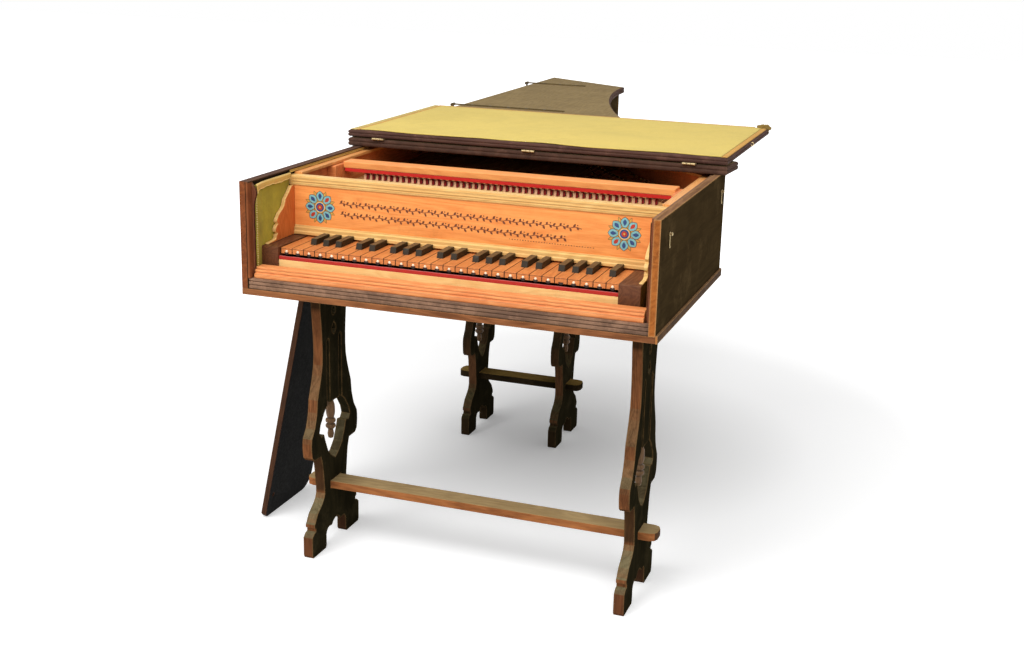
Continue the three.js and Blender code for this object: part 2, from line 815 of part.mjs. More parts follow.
// Lid, hinged on the spine side, and the flap that folds back on it
const lidBase = caseTop + seatGap;
const lidTop = lidBase + lidThick;
const flapBase = lidTop + flapGap;
const flapTop = flapBase + flapThick;
const barrelRadius = 2.5;
const flapAxisY = lidFrontY - barrelRadius - seatGap;
const flapAxisZ = (caseTop + seatGap + flapTop + clothThick) / 2;
const lidAxisX = -31;
const lidAxisZ = lidTop;

// Each flap hinge has a leaf on the lid and one on the flap, and shares its barrel between them
const flapHingeShares = [0.0869, 0.498, 0.907];
const flapHingeWidth = 27;
const flapBarrelMiddle = 9;
const leafThick = 1;
const leafLength = 24;
const barrelSides = 10;

function hingeMiddles() {
  return flapHingeShares.map((share) => -lidOverhang + (caseWidth + 2 * lidOverhang) * share);
}

function knuckle(x0, x1, z0, z1) {
  return fuse(
    block(x0, x1, flapAxisY, lidFrontY + cutOverrun, z0, z1),
    roundX(barrelRadius, x0, x1, flapAxisY, flapAxisZ, barrelSides),
  );
}

function flapLeaf(middle, z0, z1) {
  const left = middle - flapHingeWidth / 2;
  return block(left, left + flapHingeWidth, lidFrontY + seatGap, lidFrontY + leafLength, z0, z1);
}

function buildLid() {
  const half = flapBarrelMiddle / 2;
  const plan = planOutline(-lidOverhang, -lidOverhang, -lidOverhang, lidFrontY);
  const board = prismZ(plan, lidBase, lidTop);
  const leaves = hingeMiddles().flatMap((middle) => [
    flapLeaf(middle, lidTop - rootDepth, lidTop + leafThick),
    knuckle(middle - half, middle + half, lidTop, lidTop + leafThick),
  ]);
  addPart('lid', fuse(board, ...leaves), lidPaint);
}

function buildFlap() {
  const left = -lidOverhang;
  const right = caseWidth + lidOverhang;
  const back = lidFrontY + flapDepth;
  const board = block(left, right, lidFrontY, back, flapBase, flapTop);
  const inner = flapBarrelMiddle / 2 + seatGap;
  const outer = flapHingeWidth / 2;
  const leafBase = flapBase - leafThick;
  const leaves = hingeMiddles().flatMap((middle) => [
    flapLeaf(middle, leafBase, flapBase + rootDepth),
    knuckle(middle - outer, middle - inner, leafBase, flapBase),
    knuckle(middle + inner, middle + outer, leafBase, flapBase),
  ]);
  addPart('lid_flap', fuse(board, ...leaves), lidPaint);
  const clothInset = 2;
  addPart('flap_cloth', block(
    left + clothInset,
    right - clothInset,
    lidFrontY + clothInset,
    back - clothInset,
    flapTop + seatGap,
    flapTop + clothThick,
  ), yellowCloth);
}

// Strap hinges: a cranked plate on the spine and a long strap on the lid
function buildLidHinges() {
  const firstHingeInset = 64;
  const lastHingeInset = 173;
  const reachShares = [0.336, 0.336, 0.185];
  const radius = 4;
  const strapThick = 1.5;
  const strapHalf = 9;
  const plateThick = 3;
  const plateHalf = 3.6;
  const footHalf = 14;
  const plateDrop = 70;
  const crankDrop = 14;
  const sides = 10;
  const crankTop = caseTop - crankDrop;
  const plateLow = caseTop - plateDrop;
  const firstHingeY = lidFrontY + firstHingeInset;
  const lastHingeY = spineLength - lastHingeInset;
  const hingeYs = [firstHingeY, (firstHingeY + lastHingeY) / 2, lastHingeY];
  hingeYs.forEach((y, n) => {
    const reach = caseWidth * reachShares[n];
    const crank = [
      point(0, crankTop - plateThick),
      point(0, crankTop),
      point(lidAxisX + plateThick / 2, crankTop),
      point(lidAxisX + plateThick / 2, lidAxisZ),
      point(lidAxisX - plateThick / 2, lidAxisZ),
      point(lidAxisX - plateThick / 2, crankTop - plateThick),
    ];
    addPart(`lid_hinge_plate_${n + 1}`, fuse(
      block(-plateThick, 0, y - footHalf, y + footHalf, plateLow, crankTop),
      prismY(crank, y - plateHalf, y + plateHalf),
      roundY(radius, y - plateHalf, y + plateHalf, lidAxisX, lidAxisZ, sides),
    ), iron);
    const strapKnuckle = (y0, y1) => fuse(
      block(lidAxisX, -lidOverhang + cutOverrun, y0, y1, lidTop, lidTop + strapThick),
      roundY(radius, y0, y1, lidAxisX, lidAxisZ, sides),
    );
    addPart(`lid_hinge_strap_${n + 1}`, fuse(
      block(-lidOverhang, reach, y - strapHalf, y + strapHalf, lidTop, lidTop + strapThick),
      strapKnuckle(y - strapHalf, y - plateHalf - seatGap),
      strapKnuckle(y + plateHalf + seatGap, y + strapHalf),
    ), iron);
  });
}

// The hooks that hang on the two studs
function hookSolid(y) {
  const ringRadius = 3.6;
  const ringSteps = 14;
  const shankHalf = 1.1;
  const shankLength = 25;
  const hookThick = 2.4;
  const tipRun = 6;
  const tipRise = 5;
  const start = Math.asin(shankHalf / ringRadius);
  const outline = [];
  for (let i = 0; i <= ringSteps; i += 1) {
    const turn = -Math.PI / 2 + start + ((2 * Math.PI - 2 * start) * i) / ringSteps;
    outline.push(point(y + ringRadius * Math.cos(turn), studZ + ringRadius * Math.sin(turn)));
  }
  const heel = studZ - shankLength;
  outline.push(point(y - shankHalf, heel));
  outline.push(point(y + tipRun, heel));
  outline.push(point(y + tipRun, heel + tipRise));
  outline.push(point(y + tipRun - 2 * shankHalf, heel + tipRise));
  outline.push(point(y + tipRun - 2 * shankHalf, heel + 2 * shankHalf));
  outline.push(point(y + shankHalf, heel + 2 * shankHalf));
  const low = caseWidth + (studLength - hookThick) / 2;
  const high = low + hookThick;
  const boreRadius = studRadius + 2 * seatGap;
  const bore = roundX(boreRadius, low - cutOverrun, high + cutOverrun, y, studZ, studSides);
  return cut(prismX(outline, low, high), bore);
}

function buildHooks() {
  addPart('front_hook', hookSolid(hookYs[0]), iron);
  addPart('rear_hook', hookSolid(hookYs[1]), iron);
}

// Trestle legs: fretted boards across the case, shaped alike on both edges
const stretcherDepth = 46;
const stretcherThick = 16;
const frontStretcherZ = 120.5;
const rearStretcherZ = 129;
const archTopShare = 0.092;
function smoothed(shares, steps, scaleY, scaleZ) {
  const curve = new THREE.SplineCurve(shares.map(([y, z]) => point(y * scaleY, z * scaleZ)));
  return curve.getPoints(steps);
}

function legEdge(half, height) {
  const place = ([y, z]) => point(y * half, z * height);
  const flankSteps = 20;
  const waistSteps = 12;
  const archSteps = 8;
  const crownShares = [0.548, 1];
  const flankShares = [
    [0.548, 0.921], [0.51, 0.86], [0.48, 0.79], [0.49, 0.71], [0.6, 0.64],
    [0.7, 0.59], [0.73, 0.545], [0.83, 0.49], [0.95, 0.458], [0.97, 0.42], [0.94, 0.385],
  ];
  const shoulderShares = [0.86, 0.372];
  const waistShares = [
    [0.6, 0.371], [0.53, 0.333], [0.485, 0.27], [0.46, 0.218], [0.57, 0.185], [0.77, 0.158], [0.87, 0.13],
  ];
  const footShares = [
    [0.9, 0.125], [0.9, 0.112], [0.85, 0.108], [0.85, 0.096], [0.93, 0.092], [1, 0.08], [1, 0.01],
  ];
  const toeShares = [[0.97, 0], [0.45, 0], [0.42, 0.01], [0.42, 0.053]];
  const archShares = [
    [0.42, 0.053], [0.37, 0.07], [0.27, 0.075], [0.19, 0.072], [0.1, 0.087], [0, archTopShare],
  ];
  return [
    place(crownShares),
    ...smoothed(flankShares, flankSteps, half, height),
    place(shoulderShares),
    ...smoothed(waistShares, waistSteps, half, height),
    ...footShares.map(place),
    ...toeShares.map(place),
    ...smoothed(archShares, archSteps, half, height).slice(1, -1),
  ];
}

function mirrored(places) {
  return places.filter((place) => place.x > 0).map((place) => point(-place.x, place.y)).reverse();
}

function wholeOutline(edge, foot) {
  return [...edge, foot, ...mirrored(edge)];
}

function ring(centre, radiusY, radiusZ, sides) {
  const places = [];
  for (let i = 0; i < sides; i += 1) {
    const turn = (2 * Math.PI * i) / sides;
    places.push(point(centre.x + radiusY * Math.cos(turn), centre.y + radiusZ * Math.sin(turn)));
  }
  return places;
}

function legFretTools(half, height) {
  const place = ([y, z]) => point(y * half, z * height);
  const eyeSides = 10;
  const eyeShares = [0, 0.892];
  const eyeHalfShares = [0.085, 0.0165];
  const dropShares = [
    [0, 0.803], [0.09, 0.818], [0.085, 0.832], [0, 0.852], [-0.085, 0.832], [-0.09, 0.818],
  ];
  const fretShares = [
    [0.19, 0.79], [0.25, 0.8], [0.31, 0.79], [0.31, 0.55], [0.44, 0.53], [0.6, 0.49], [0.65, 0.46],
    [0.58, 0.443], [0.46, 0.447], [0.41, 0.42], [0.3, 0.375], [0.14, 0.345],
  ];
  const fretFootShares = [0, 0.33];
  const barFootShares = [[-0.19, 0.555], [0.19, 0.555]];
  const eyeHalf = place(eyeHalfShares);
  const fretEdge = fretShares.map(place);
  return [
    ring(place(eyeShares), eyeHalf.x, eyeHalf.y, eyeSides),
    dropShares.map(place),
    [...fretEdge, place(fretFootShares), ...mirrored(fretEdge), ...barFootShares.map(place)],
  ];
}

function legSolid(left, centreY, spread, mortiseZ) {
  const half = spread / 2;
  const height = standHeight;
  const right = left + legThick;
  const shift = (places) => places.map((place) => point(place.x + centreY, place.y));
  const outline = shift(wholeOutline(legEdge(half, height), point(0, height * archTopShare)));
  const mortiseHalf = stretcherDepth / 2 + seatGap;
  const mortise = [
    point(-mortiseHalf, mortiseZ - seatGap),
    point(mortiseHalf, mortiseZ - seatGap),
    point(mortiseHalf, mortiseZ + stretcherThick + seatGap),
    point(-mortiseHalf, mortiseZ + stretcherThick + seatGap),
  ];
  const holes = [...legFretTools(half, height), mortise];
  const tools = holes.map((hole) => prismX(shift(hole), left - cutOverrun, right + cutOverrun));
  const board = cut(prismX(outline, left, right), ...tools);
  const spindleShares = [
    [0, 0.4], [0.45, 0.405], [0.6, 0.42], [0.45, 0.437], [0.95, 0.447],
    [0.95, 0.455], [0.6, 0.461], [0.95, 0.467], [0.95, 0.476], [0.6, 0.482],
    [0.85, 0.505], [0.8, 0.53], [0.5, 0.55], [0.5, 0.562], [0, 0.562],
  ];
  const spindleSides = 8;
  const profile = spindleShares.map(([r, z]) => point((r * legThick) / 2, z * height));
  const spindle = new THREE.LatheGeometry(profile, spindleSides).rotateX(Math.PI / 2);
  spindle.translate(left + legThick / 2, centreY, 0);
  return fuse(board, spindle);
}

function stretcherSolid(x0, x1, centreY, z) {
  const corner = 14;
  const half = stretcherDepth / 2;
  const low = centreY - half;
  const high = centreY + half;
  const nick = corner * (1 - Math.SQRT1_2);
  const plan = [
    point(x0, low + corner),
    point(x0 + nick, low + nick),
    point(x0 + corner, low),
    point(x1 - corner, low),
    point(x1 - nick, low + nick),
    point(x1, low + corner),
    point(x1, high - corner),
    point(x1 - nick, high - nick),
    point(x1 - corner, high),
    point(x0 + corner, high),
    point(x0 + nick, high - nick),
    point(x0, high - corner),
  ];
  return prismZ(plan, z, z + stretcherThick);
}

function buildTrestles() {
  const endRun = 35;
  const frontLegs = { left: frontLegInset, right: caseWidth - frontLegRightGap };
  const rearLegs = { left: rearLegInset, right: rearLegInset + rearLegGap };
  const addLeg = (name, left, centreY, spread, mortiseZ) => {
    addPart(name, legSolid(left, centreY, spread, mortiseZ), stainedOak);
  };
  addLeg('front_leg_bass', frontLegs.left, frontTrestleY, legWidth, frontStretcherZ);
  addLeg('front_leg_treble', frontLegs.right, frontTrestleY, legWidth, frontStretcherZ);
  addLeg('rear_leg_bass', rearLegs.left, rearTrestleY, rearLegWidth, rearStretcherZ);
  addLeg('rear_leg_treble', rearLegs.right, rearTrestleY, rearLegWidth, rearStretcherZ);
  const addStretcher = (name, legs, centreY, z) => {
    addPart(name, stretcherSolid(legs.left - endRun, legs.right + legThick + endRun, centreY, z), walnut);
  };
  addStretcher('front_stretcher', frontLegs, frontTrestleY, frontStretcherZ);
  addStretcher('rear_stretcher', rearLegs, rearTrestleY, rearStretcherZ);
}

// Music desk: a loose board that leans inwards with its top edge under the case
function buildMusicDesk() {
  const deskWidth = 200;
  const deskThick = 12;
  const deskFootX = -88.7;
  const deskFrontY = 195;
  const deskLeanDegrees = 11.72;
  const deskLean = THREE.MathUtils.degToRad(deskLeanDegrees);
  const cornerRadius = 36;
  const cornerSteps = 5;
  const frontCorner = 8;
  const holeRadius = 4;
  const holeSides = 8;
  const holeInset = 19;
  const holeLift = 49;
  const footLift = deskThick * Math.sin(deskLean);
  const deskLength = (standHeight - seatGap - footLift) / Math.cos(deskLean);
  const roundCorner = (centre, turn) => new THREE.EllipseCurve(
    deskWidth - cornerRadius, centre, cornerRadius, cornerRadius, turn, turn + Math.PI / 2,
  ).getPoints(cornerSteps);
  const outline = [
    point(frontCorner, 0),
    ...roundCorner(cornerRadius, -Math.PI / 2),
    ...roundCorner(deskLength - cornerRadius, 0),
    point(frontCorner, deskLength),
    point(0, deskLength - frontCorner),
    point(0, frontCorner),
  ];
  const hole = ring(point(holeInset, holeLift), holeRadius, holeRadius, holeSides);
  const stand = new THREE.Group();
  stand.position.set(deskFootX, deskFrontY, footLift);
  stand.rotation.y = deskLean;
  model.add(stand);
  const bore = prismX(hole, -cutOverrun, deskThick + cutOverrun);
  addPart('music_desk', cut(prismX(outline, 0, deskThick), bore), darkPaint, stand);
}

buildCase();
buildFrontBand();
buildLinings();
buildInnerBody();
buildKeySurround();
buildNameboard();
buildKeyFrame();
buildKeysAndJacks();
buildAction();
buildSoundboard();
buildLid();
buildFlap();
buildLidHinges();
buildHooks();
buildTrestles();
buildMusicDesk();

// The origin is the middle of the outer box, on the floor
model.updateMatrixWorld(true);
const outerBox = new THREE.Box3().setFromObject(model, true);
const middle = outerBox.getCenter(new THREE.Vector3());
model.position.set(-middle.x, -middle.y, -outerBox.min.z);

export default model;
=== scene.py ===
import math

import bmesh
import bpy
from mathutils import Matrix, Vector, noise


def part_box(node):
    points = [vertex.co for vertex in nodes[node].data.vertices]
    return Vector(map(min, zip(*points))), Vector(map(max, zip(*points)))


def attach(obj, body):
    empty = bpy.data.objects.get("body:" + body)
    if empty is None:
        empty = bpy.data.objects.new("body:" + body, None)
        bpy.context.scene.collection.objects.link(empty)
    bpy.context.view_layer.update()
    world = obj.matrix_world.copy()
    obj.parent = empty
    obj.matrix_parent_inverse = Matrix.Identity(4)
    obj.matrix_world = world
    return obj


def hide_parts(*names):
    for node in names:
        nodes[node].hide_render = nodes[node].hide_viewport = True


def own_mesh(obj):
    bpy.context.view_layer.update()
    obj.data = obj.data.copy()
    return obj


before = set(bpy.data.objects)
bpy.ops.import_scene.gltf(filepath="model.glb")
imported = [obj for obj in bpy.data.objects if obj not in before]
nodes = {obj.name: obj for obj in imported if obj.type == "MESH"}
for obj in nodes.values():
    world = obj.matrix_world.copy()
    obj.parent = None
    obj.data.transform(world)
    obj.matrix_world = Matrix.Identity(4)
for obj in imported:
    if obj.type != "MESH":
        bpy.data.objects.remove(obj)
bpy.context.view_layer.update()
scene = bpy.context.scene
mm = 0.001
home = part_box("case_bottom")[0]  # front left corner of the case


# A place measured from the case's front left edge and the floor, in millimetres
def at(x, y, z):
    return Vector((home.x + x * mm, home.y + y * mm, z * mm))


# The same measures of a place in the scene
def measured(spot):
    return (spot.x - home.x) / mm, (spot.y - home.y) / mm, spot.z / mm


print("frame loaded:", len(nodes), "nodes")


# Node helpers. Tones are written from 0 to 255, as a picture shows them
def linear(tone, scale=1.0, lift=0.0):
    parts = []
    for value in tone:
        share = min(255, value * scale + lift) / 255
        parts.append(share / 12.92 if share <= 0.04045 else ((share + 0.055) / 1.055) ** 2.4)
    return (*parts, 1.0)


def feed(tree, socket, value):
    if isinstance(value, bpy.types.NodeSocket):
        tree.links.new(value, socket)
    else:
        socket.default_value = value


def put(tree, kind, settings=None, **sockets):
    node = tree.nodes.new(kind)
    for key, value in (settings or {}).items():
        setattr(node, key, value)
    for key, value in sockets.items():
        feed(tree, node.inputs[key.replace("_", " ")], value)
    return node


def feedAll(tree, node, values, first=0):
    for i, value in enumerate(values):
        feed(tree, node.inputs[first + i], value)
    return node.outputs


def calc(tree, operation, *values, clamp=False):
    node = put(tree, "ShaderNodeMath", {"operation": operation, "use_clamp": clamp})
    return feedAll(tree, node, values)[0]


def times(tree, first, second, clamp=False):
    return calc(tree, "MULTIPLY", first, second, clamp=clamp)


def minus(tree, first, second):
    return calc(tree, "SUBTRACT", first, second)


def between(tree, value, place):
    return calc(tree, "ABSOLUTE", minus(tree, value, place))


def vecCalc(tree, operation, *values):
    outputs = feedAll(tree, put(tree, "ShaderNodeVectorMath", {"operation": operation}), values)
    return outputs["Value"] if operation in ("DOT_PRODUCT", "LENGTH") else outputs[0]


def mixColor(tree, factor, first, second):
    node = put(tree, "ShaderNodeMix", {"data_type": "RGBA"})
    feed(tree, node.inputs[0], factor)
    return feedAll(tree, node, (first, second), 6)[2]


def span(tree, value, low, high, newLow=0.0, newHigh=1.0):
    return feedAll(tree, put(tree, "ShaderNodeMapRange"), (value, low, high, newLow, newHigh))[0]


def noiseAt(tree, vector, scale, detail=3.0, roughness=0.55, distortion=0.0):
    node = put(tree, "ShaderNodeTexNoise", Vector=vector, Scale=scale, Detail=detail,
               Roughness=roughness, Distortion=distortion)
    return node.outputs[0]


def xyz(tree, vector):
    return put(tree, "ShaderNodeSeparateXYZ", Vector=vector).outputs


def newGroup(name, ins, outs, kind="ShaderNodeTree"):
    tree = bpy.data.node_groups.new(name, kind)
    for label, socketType, value in ins:
        socket = tree.interface.new_socket(name=label, in_out="INPUT", socket_type=socketType)
        if value is not None:
            socket.default_value = value
    for label, socketType in outs:
        tree.interface.new_socket(name=label, in_out="OUTPUT", socket_type=socketType)
    return tree, tree.nodes.new("NodeGroupInput").outputs, tree.nodes.new("NodeGroupOutput").inputs


floatSocket, vectorSocket, colorSocket = "NodeSocketFloat", "NodeSocketVector", "NodeSocketColor"

# Long fibres and broader figure along X of the vector it is given
woodShape = {
    "fibreStretch": (0.045, 1.0, 1.0), "figureStretch": (0.16, 1.0, 1.0), "bend": 0.4, "mottleScale": 9.0,
    "fibreFrom": 0.3, "fibreTo": 0.7, "fibreShare": 0.65, "ringShare": 0.35,
}


def buildWoodGroup(shape):
    tree, ins, outs = newGroup("woodGrain", [
        ("Vector", vectorSocket, None), ("Light", colorSocket, (0.6, 0.4, 0.2, 1)),
        ("Dark", colorSocket, (0.3, 0.2, 0.1, 1)), ("Fibre", floatSocket, 900.0),
        ("Figure", floatSocket, 30.0), ("Rings", floatSocket, 14.0), ("Mottle", floatSocket, 0.3),
    ], [("Color", colorSocket), ("Height", floatSocket)])
    drawn = vecCalc(tree, "MULTIPLY", ins["Vector"], shape["fibreStretch"])
    wide = vecCalc(tree, "MULTIPLY", ins["Vector"], shape["figureStretch"])
    fibre = noiseAt(tree, drawn, ins["Fibre"], detail=4.0, roughness=0.7)
    figure = noiseAt(tree, wide, ins["Figure"], detail=2.0, distortion=shape["bend"])
    rings = calc(tree, "SINE", times(tree, figure, times(tree, ins["Rings"], 6.283)))
    rings = calc(tree, "MULTIPLY_ADD", rings, 0.5, 0.5)
    fine = times(tree, span(tree, fibre, shape["fibreFrom"], shape["fibreTo"]), shape["fibreShare"])
    lines = calc(tree, "MULTIPLY_ADD", rings, shape["ringShare"], fine)
    mottle = noiseAt(tree, ins["Vector"], shape["mottleScale"])
    patch = times(tree, minus(tree, mottle, 0.5), ins["Mottle"])
    share = calc(tree, "ADD", lines, times(tree, patch, 2.0), clamp=True)
    feed(tree, outs["Color"], mixColor(tree, share, ins["Dark"], ins["Light"]))
    feed(tree, outs["Height"], lines)
    return tree


# 1 on the worn arrises of a piece, broken up by noise
wearShape = {"turnFrom": 0.02, "turnTo": 0.3, "soft": 0.12}


def buildWearGroup(shape):
    tree, ins, outs = newGroup("edgeWear", [
        ("Vector", vectorSocket, None), ("Radius", floatSocket, 0.002),
        ("Amount", floatSocket, 0.5), ("Scatter", floatSocket, 60.0),
    ], [("Mask", floatSocket)])
    rounded = put(tree, "ShaderNodeBevel", {"samples": 4}, Radius=ins["Radius"]).outputs[0]
    flat = put(tree, "ShaderNodeNewGeometry").outputs["True Normal"]
    turn = minus(tree, 1.0, vecCalc(tree, "DOT_PRODUCT", rounded, flat))
    edge = span(tree, turn, shape["turnFrom"], shape["turnTo"])
    broken = noiseAt(tree, ins["Vector"], ins["Scatter"], detail=5.0, roughness=0.7)
    level = minus(tree, 1.0, ins["Amount"])
    gate = span(tree, broken, minus(tree, level, shape["soft"]), calc(tree, "ADD", level, shape["soft"]))
    feed(tree, outs["Mask"], times(tree, edge, gate, clamp=True))
    return tree


# Scuffs, dust and stains in two sizes
grimeShape = {"fineness": 11.0, "fineShare": 0.3, "clean": 0.85, "soft": 0.25}


def buildGrimeGroup(shape):
    tree, ins, outs = newGroup("grime", [
        ("Vector", vectorSocket, None), ("Scale", floatSocket, 14.0), ("Amount", floatSocket, 0.4),
    ], [("Mask", floatSocket), ("Fine", floatSocket)])
    broad = noiseAt(tree, ins["Vector"], ins["Scale"], detail=6.0, roughness=0.65, distortion=0.3)
    fine = noiseAt(tree, ins["Vector"], times(tree, ins["Scale"], shape["fineness"]), detail=4.0)
    level = minus(tree, shape["clean"], times(tree, ins["Amount"], 0.5))
    both = calc(tree, "MULTIPLY_ADD", fine, shape["fineShare"], broad)
    feed(tree, outs["Mask"], span(tree, both, level, calc(tree, "ADD", level, shape["soft"])))
    feed(tree, outs["Fine"], fine)
    return tree


# A plain weave in the X and Y of the vector it is given
weaveShape = {"slubAlong": (0.04, 1.0, 1.0), "slubAcross": (1.0, 0.04, 1.0), "slubScale": 700.0,
              "overShare": 0.6, "level": 0.2}


def buildWeaveGroup(shape):
    tree, ins, outs = newGroup("plainWeave", [
        ("Vector", vectorSocket, None), ("Threads", floatSocket, 900.0), ("Slub", floatSocket, 0.4),
    ], [("Shade", floatSocket), ("Height", floatSocket)])
    place = xyz(tree, ins["Vector"])
    rate = times(tree, ins["Threads"], 3.1416)
    waves = [calc(tree, "SINE", times(tree, place[i], rate)) for i in (0, 1)]
    over = calc(tree, "MULTIPLY_ADD", times(tree, *waves), 0.5, 0.5)
    slubs = [noiseAt(tree, vecCalc(tree, "MULTIPLY", ins["Vector"], shape[way]), shape["slubScale"])
             for way in ("slubAlong", "slubAcross")]
    slub = times(tree, minus(tree, calc(tree, "ADD", *slubs), 1.0), ins["Slub"])
    slub = calc(tree, "ADD", slub, shape["level"])
    shade = calc(tree, "ADD", times(tree, over, shape["overShare"]), slub, clamp=True)
    feed(tree, outs["Shade"], shade)
    feed(tree, outs["Height"], over)
    return tree


groups = {
    "wood": buildWoodGroup(woodShape), "wear": buildWearGroup(wearShape),
    "grime": buildGrimeGroup(grimeShape), "weave": buildWeaveGroup(weaveShape),
}


def useGroup(tree, name, **sockets):
    node = put(tree, "ShaderNodeGroup", {"node_tree": groups[name]}, **sockets)
    return node.outputs


# Materials
def startMaterial(name, roughness, specular, sheen=0.0, metallic=0.0, coat=0.0):
    material = bpy.data.materials.new(name)
    material.use_nodes = True
    tree = material.node_tree
    surface = tree.nodes["Principled BSDF"]
    values = {"Roughness": roughness, "Specular IOR Level": specular, "Sheen Weight": sheen,
              "Metallic": metallic, "Coat Weight": coat}
    for label, value in values.items():
        surface.inputs[label].default_value = value
    return material, tree, surface


# The last links of every material: its colour, a bump and, where it varies, its roughness
def finishSurface(tree, surface, color, height, strength, depth, roughness=None):
    feed(tree, surface.inputs["Base Color"], color)
    if roughness:
        feed(tree, surface.inputs["Roughness"], roughness)
    bump = put(tree, "ShaderNodeBump", Height=height, Strength=strength, Distance=depth)
    feed(tree, surface.inputs["Normal"], bump.outputs[0])


def objectVector(tree, turn=(0, 0, 0)):
    place = put(tree, "ShaderNodeTexCoord").outputs["Object"]
    if turn == (0, 0, 0):
        return place
    rotation = tuple(math.radians(a) for a in turn)
    return put(tree, "ShaderNodeMapping", Vector=place, Rotation=rotation).outputs[0]


def facing(tree, direction, low=0.35, high=0.75):
    normal = put(tree, "ShaderNodeNewGeometry").outputs["True Normal"]
    return span(tree, vecCalc(tree, "DOT_PRODUCT", normal, direction), low, high)


def woodIn(tree, vector, light, dark, fibre, figure, rings, mottle):
    return useGroup(tree, "wood", Vector=vector, Light=linear(light), Dark=linear(dark),
                    Fibre=fibre, Figure=figure, Rings=rings, Mottle=mottle)


# Painted shade lines at a moulding's steps and between turned rings: each is (axis, place, half width) in
# millimetres
def paintShadeLines(tree, color, lines, tone):
    place = xyz(tree, objectVector(tree)) if lines else None
    for axis, spot, half in lines:
        centre = at(*(spot if i == axis else 0 for i in range(3)))[axis]
        shade = span(tree, between(tree, place[axis], centre), half * mm * 0.4, half * mm, 0.6, 0.0)
        color = mixColor(tree, shade, color, tone)
    return color


grainTurns = {"x": (0, 0, 0), "y": (0, 0, 90), "z": (0, 90, 0)}
toFront, upward, downward = (0, -1, 0), (0, 0, 1), (0, 0, -1)


# Bare or varnished wood: grain along one axis, dirt in it, its edges rubbed lighter, and painted shade lines
# where given
def woodMaterial(name, light, dark, along="x", roughness=0.45, coat=0.0, fibre=900.0, figure=30.0, rings=14.0,
                 wearTint=None, wearAmount=0.5, wearRadius=0.0015, specular=0.2, lines=(), edgeWood=None):
    material, tree, surface = startMaterial(name, roughness, specular, coat=coat)
    vector = objectVector(tree, grainTurns[along])
    grain = woodIn(tree, vector, light, dark, fibre, figure, rings, 0.3)
    dirt = useGroup(tree, "grime", Vector=vector, Scale=22.0, Amount=0.25)
    color = mixColor(tree, times(tree, dirt["Mask"], 0.25), grain["Color"], linear(dark, 0.6))
    if wearTint:
        wear = useGroup(tree, "wear", Vector=vector, Radius=wearRadius, Amount=wearAmount, Scatter=70.0)
        color = mixColor(tree, wear["Mask"], color, linear(wearTint))
    if edgeWood:  # the narrow faces that look neither left nor right
        pale = woodIn(tree, vector, *edgeWood, fibre, figure, rings, 0.3)
        sideways = calc(tree, "ABSOLUTE", facing(tree, (1, 0, 0), -1.0, 1.0))
        sideways = calc(tree, "ABSOLUTE", calc(tree, "MULTIPLY_ADD", sideways, 2.0, -1.0))
        color = mixColor(tree, span(tree, sideways, 0.5, 0.75, 1.0, 0.0), color, pale["Color"])
    # painted shade lines where lines are given
    color = paintShadeLines(tree, color, lines, linear(dark, 0.66))
    shine = span(tree, grain["Height"], 0.0, 1.0, roughness + 0.12, roughness - 0.05)
    finishSurface(tree, surface, color, grain["Height"], 0.25, 0.0004, shine)
    return material


# Old paint on wood: dark, scuffed and rubbed through on its edges. Each of faces is a direction in which
# bare wood shows, its light and dark tones, how much of it, how squarely a face must look that way, and
# the depths from the front between which it fades. Each of bands is a tinted height on the front faces
def paintMaterial(name, tone, shade, edge, along="x", edgeAmount=0.6, edgeRadius=0.003, faces=(),
                  specular=0.08, scuff=0.35, bands=()):
    roughness = 0.74
    material, tree, surface = startMaterial(name, roughness, specular)
    vector = objectVector(tree, grainTurns[along])
    grain = woodIn(tree, vector, tone, shade, 700.0, 18.0, 5.0, 0.5)
    grime = useGroup(tree, "grime", Vector=vector, Scale=17.0, Amount=scuff)
    color = mixColor(tree, times(tree, grime["Mask"], 0.35), grain["Color"], linear(tone, 1.5, 12))
    for direction, light, dark, cover, *limits in faces:
        bare = woodIn(tree, vector, light, dark, 600.0, 26.0, 8.0, 0.6)
        patchy = noiseAt(tree, vector, 24.0, detail=6.0, roughness=0.7)
        gate = span(tree, patchy, 0.72 - cover * 0.6, 0.92 - cover * 0.6)
        share = times(tree, facing(tree, direction, *limits[:2]), gate, clamp=True)
        if len(limits) == 4:
            near, far = (at(0, y, 0).y for y in limits[2:])
            share = times(tree, share, span(tree, xyz(tree, objectVector(tree))[1], near, far, 1.0, 0.0))
        color = mixColor(tree, share, color, bare["Color"])
    # A band can be painted shade, such as the shade under the case on the front legs' tops
    for low, high, tint, most in bands:
        height = xyz(tree, objectVector(tree))[2]
        inside = times(tree, span(tree, height, (low - 5) * mm, (low + 5) * mm, 0.0, most),
                       span(tree, height, (high - 5) * mm, (high + 5) * mm, 1.0, 0.0))
        inside = times(tree, inside, facing(tree, toFront, 0.3, 0.8))
        color = mixColor(tree, inside, color, linear(tint))
    wear = useGroup(tree, "wear", Vector=vector, Radius=edgeRadius, Amount=edgeAmount, Scatter=48.0)
    color = mixColor(tree, wear["Mask"], color, linear(edge))
    shine = span(tree, grime["Fine"], 0.3, 0.7, roughness - 0.08, roughness + 0.14)
    finishSurface(tree, surface, color, grain["Height"], 0.3, 0.0005, shine)
    return material


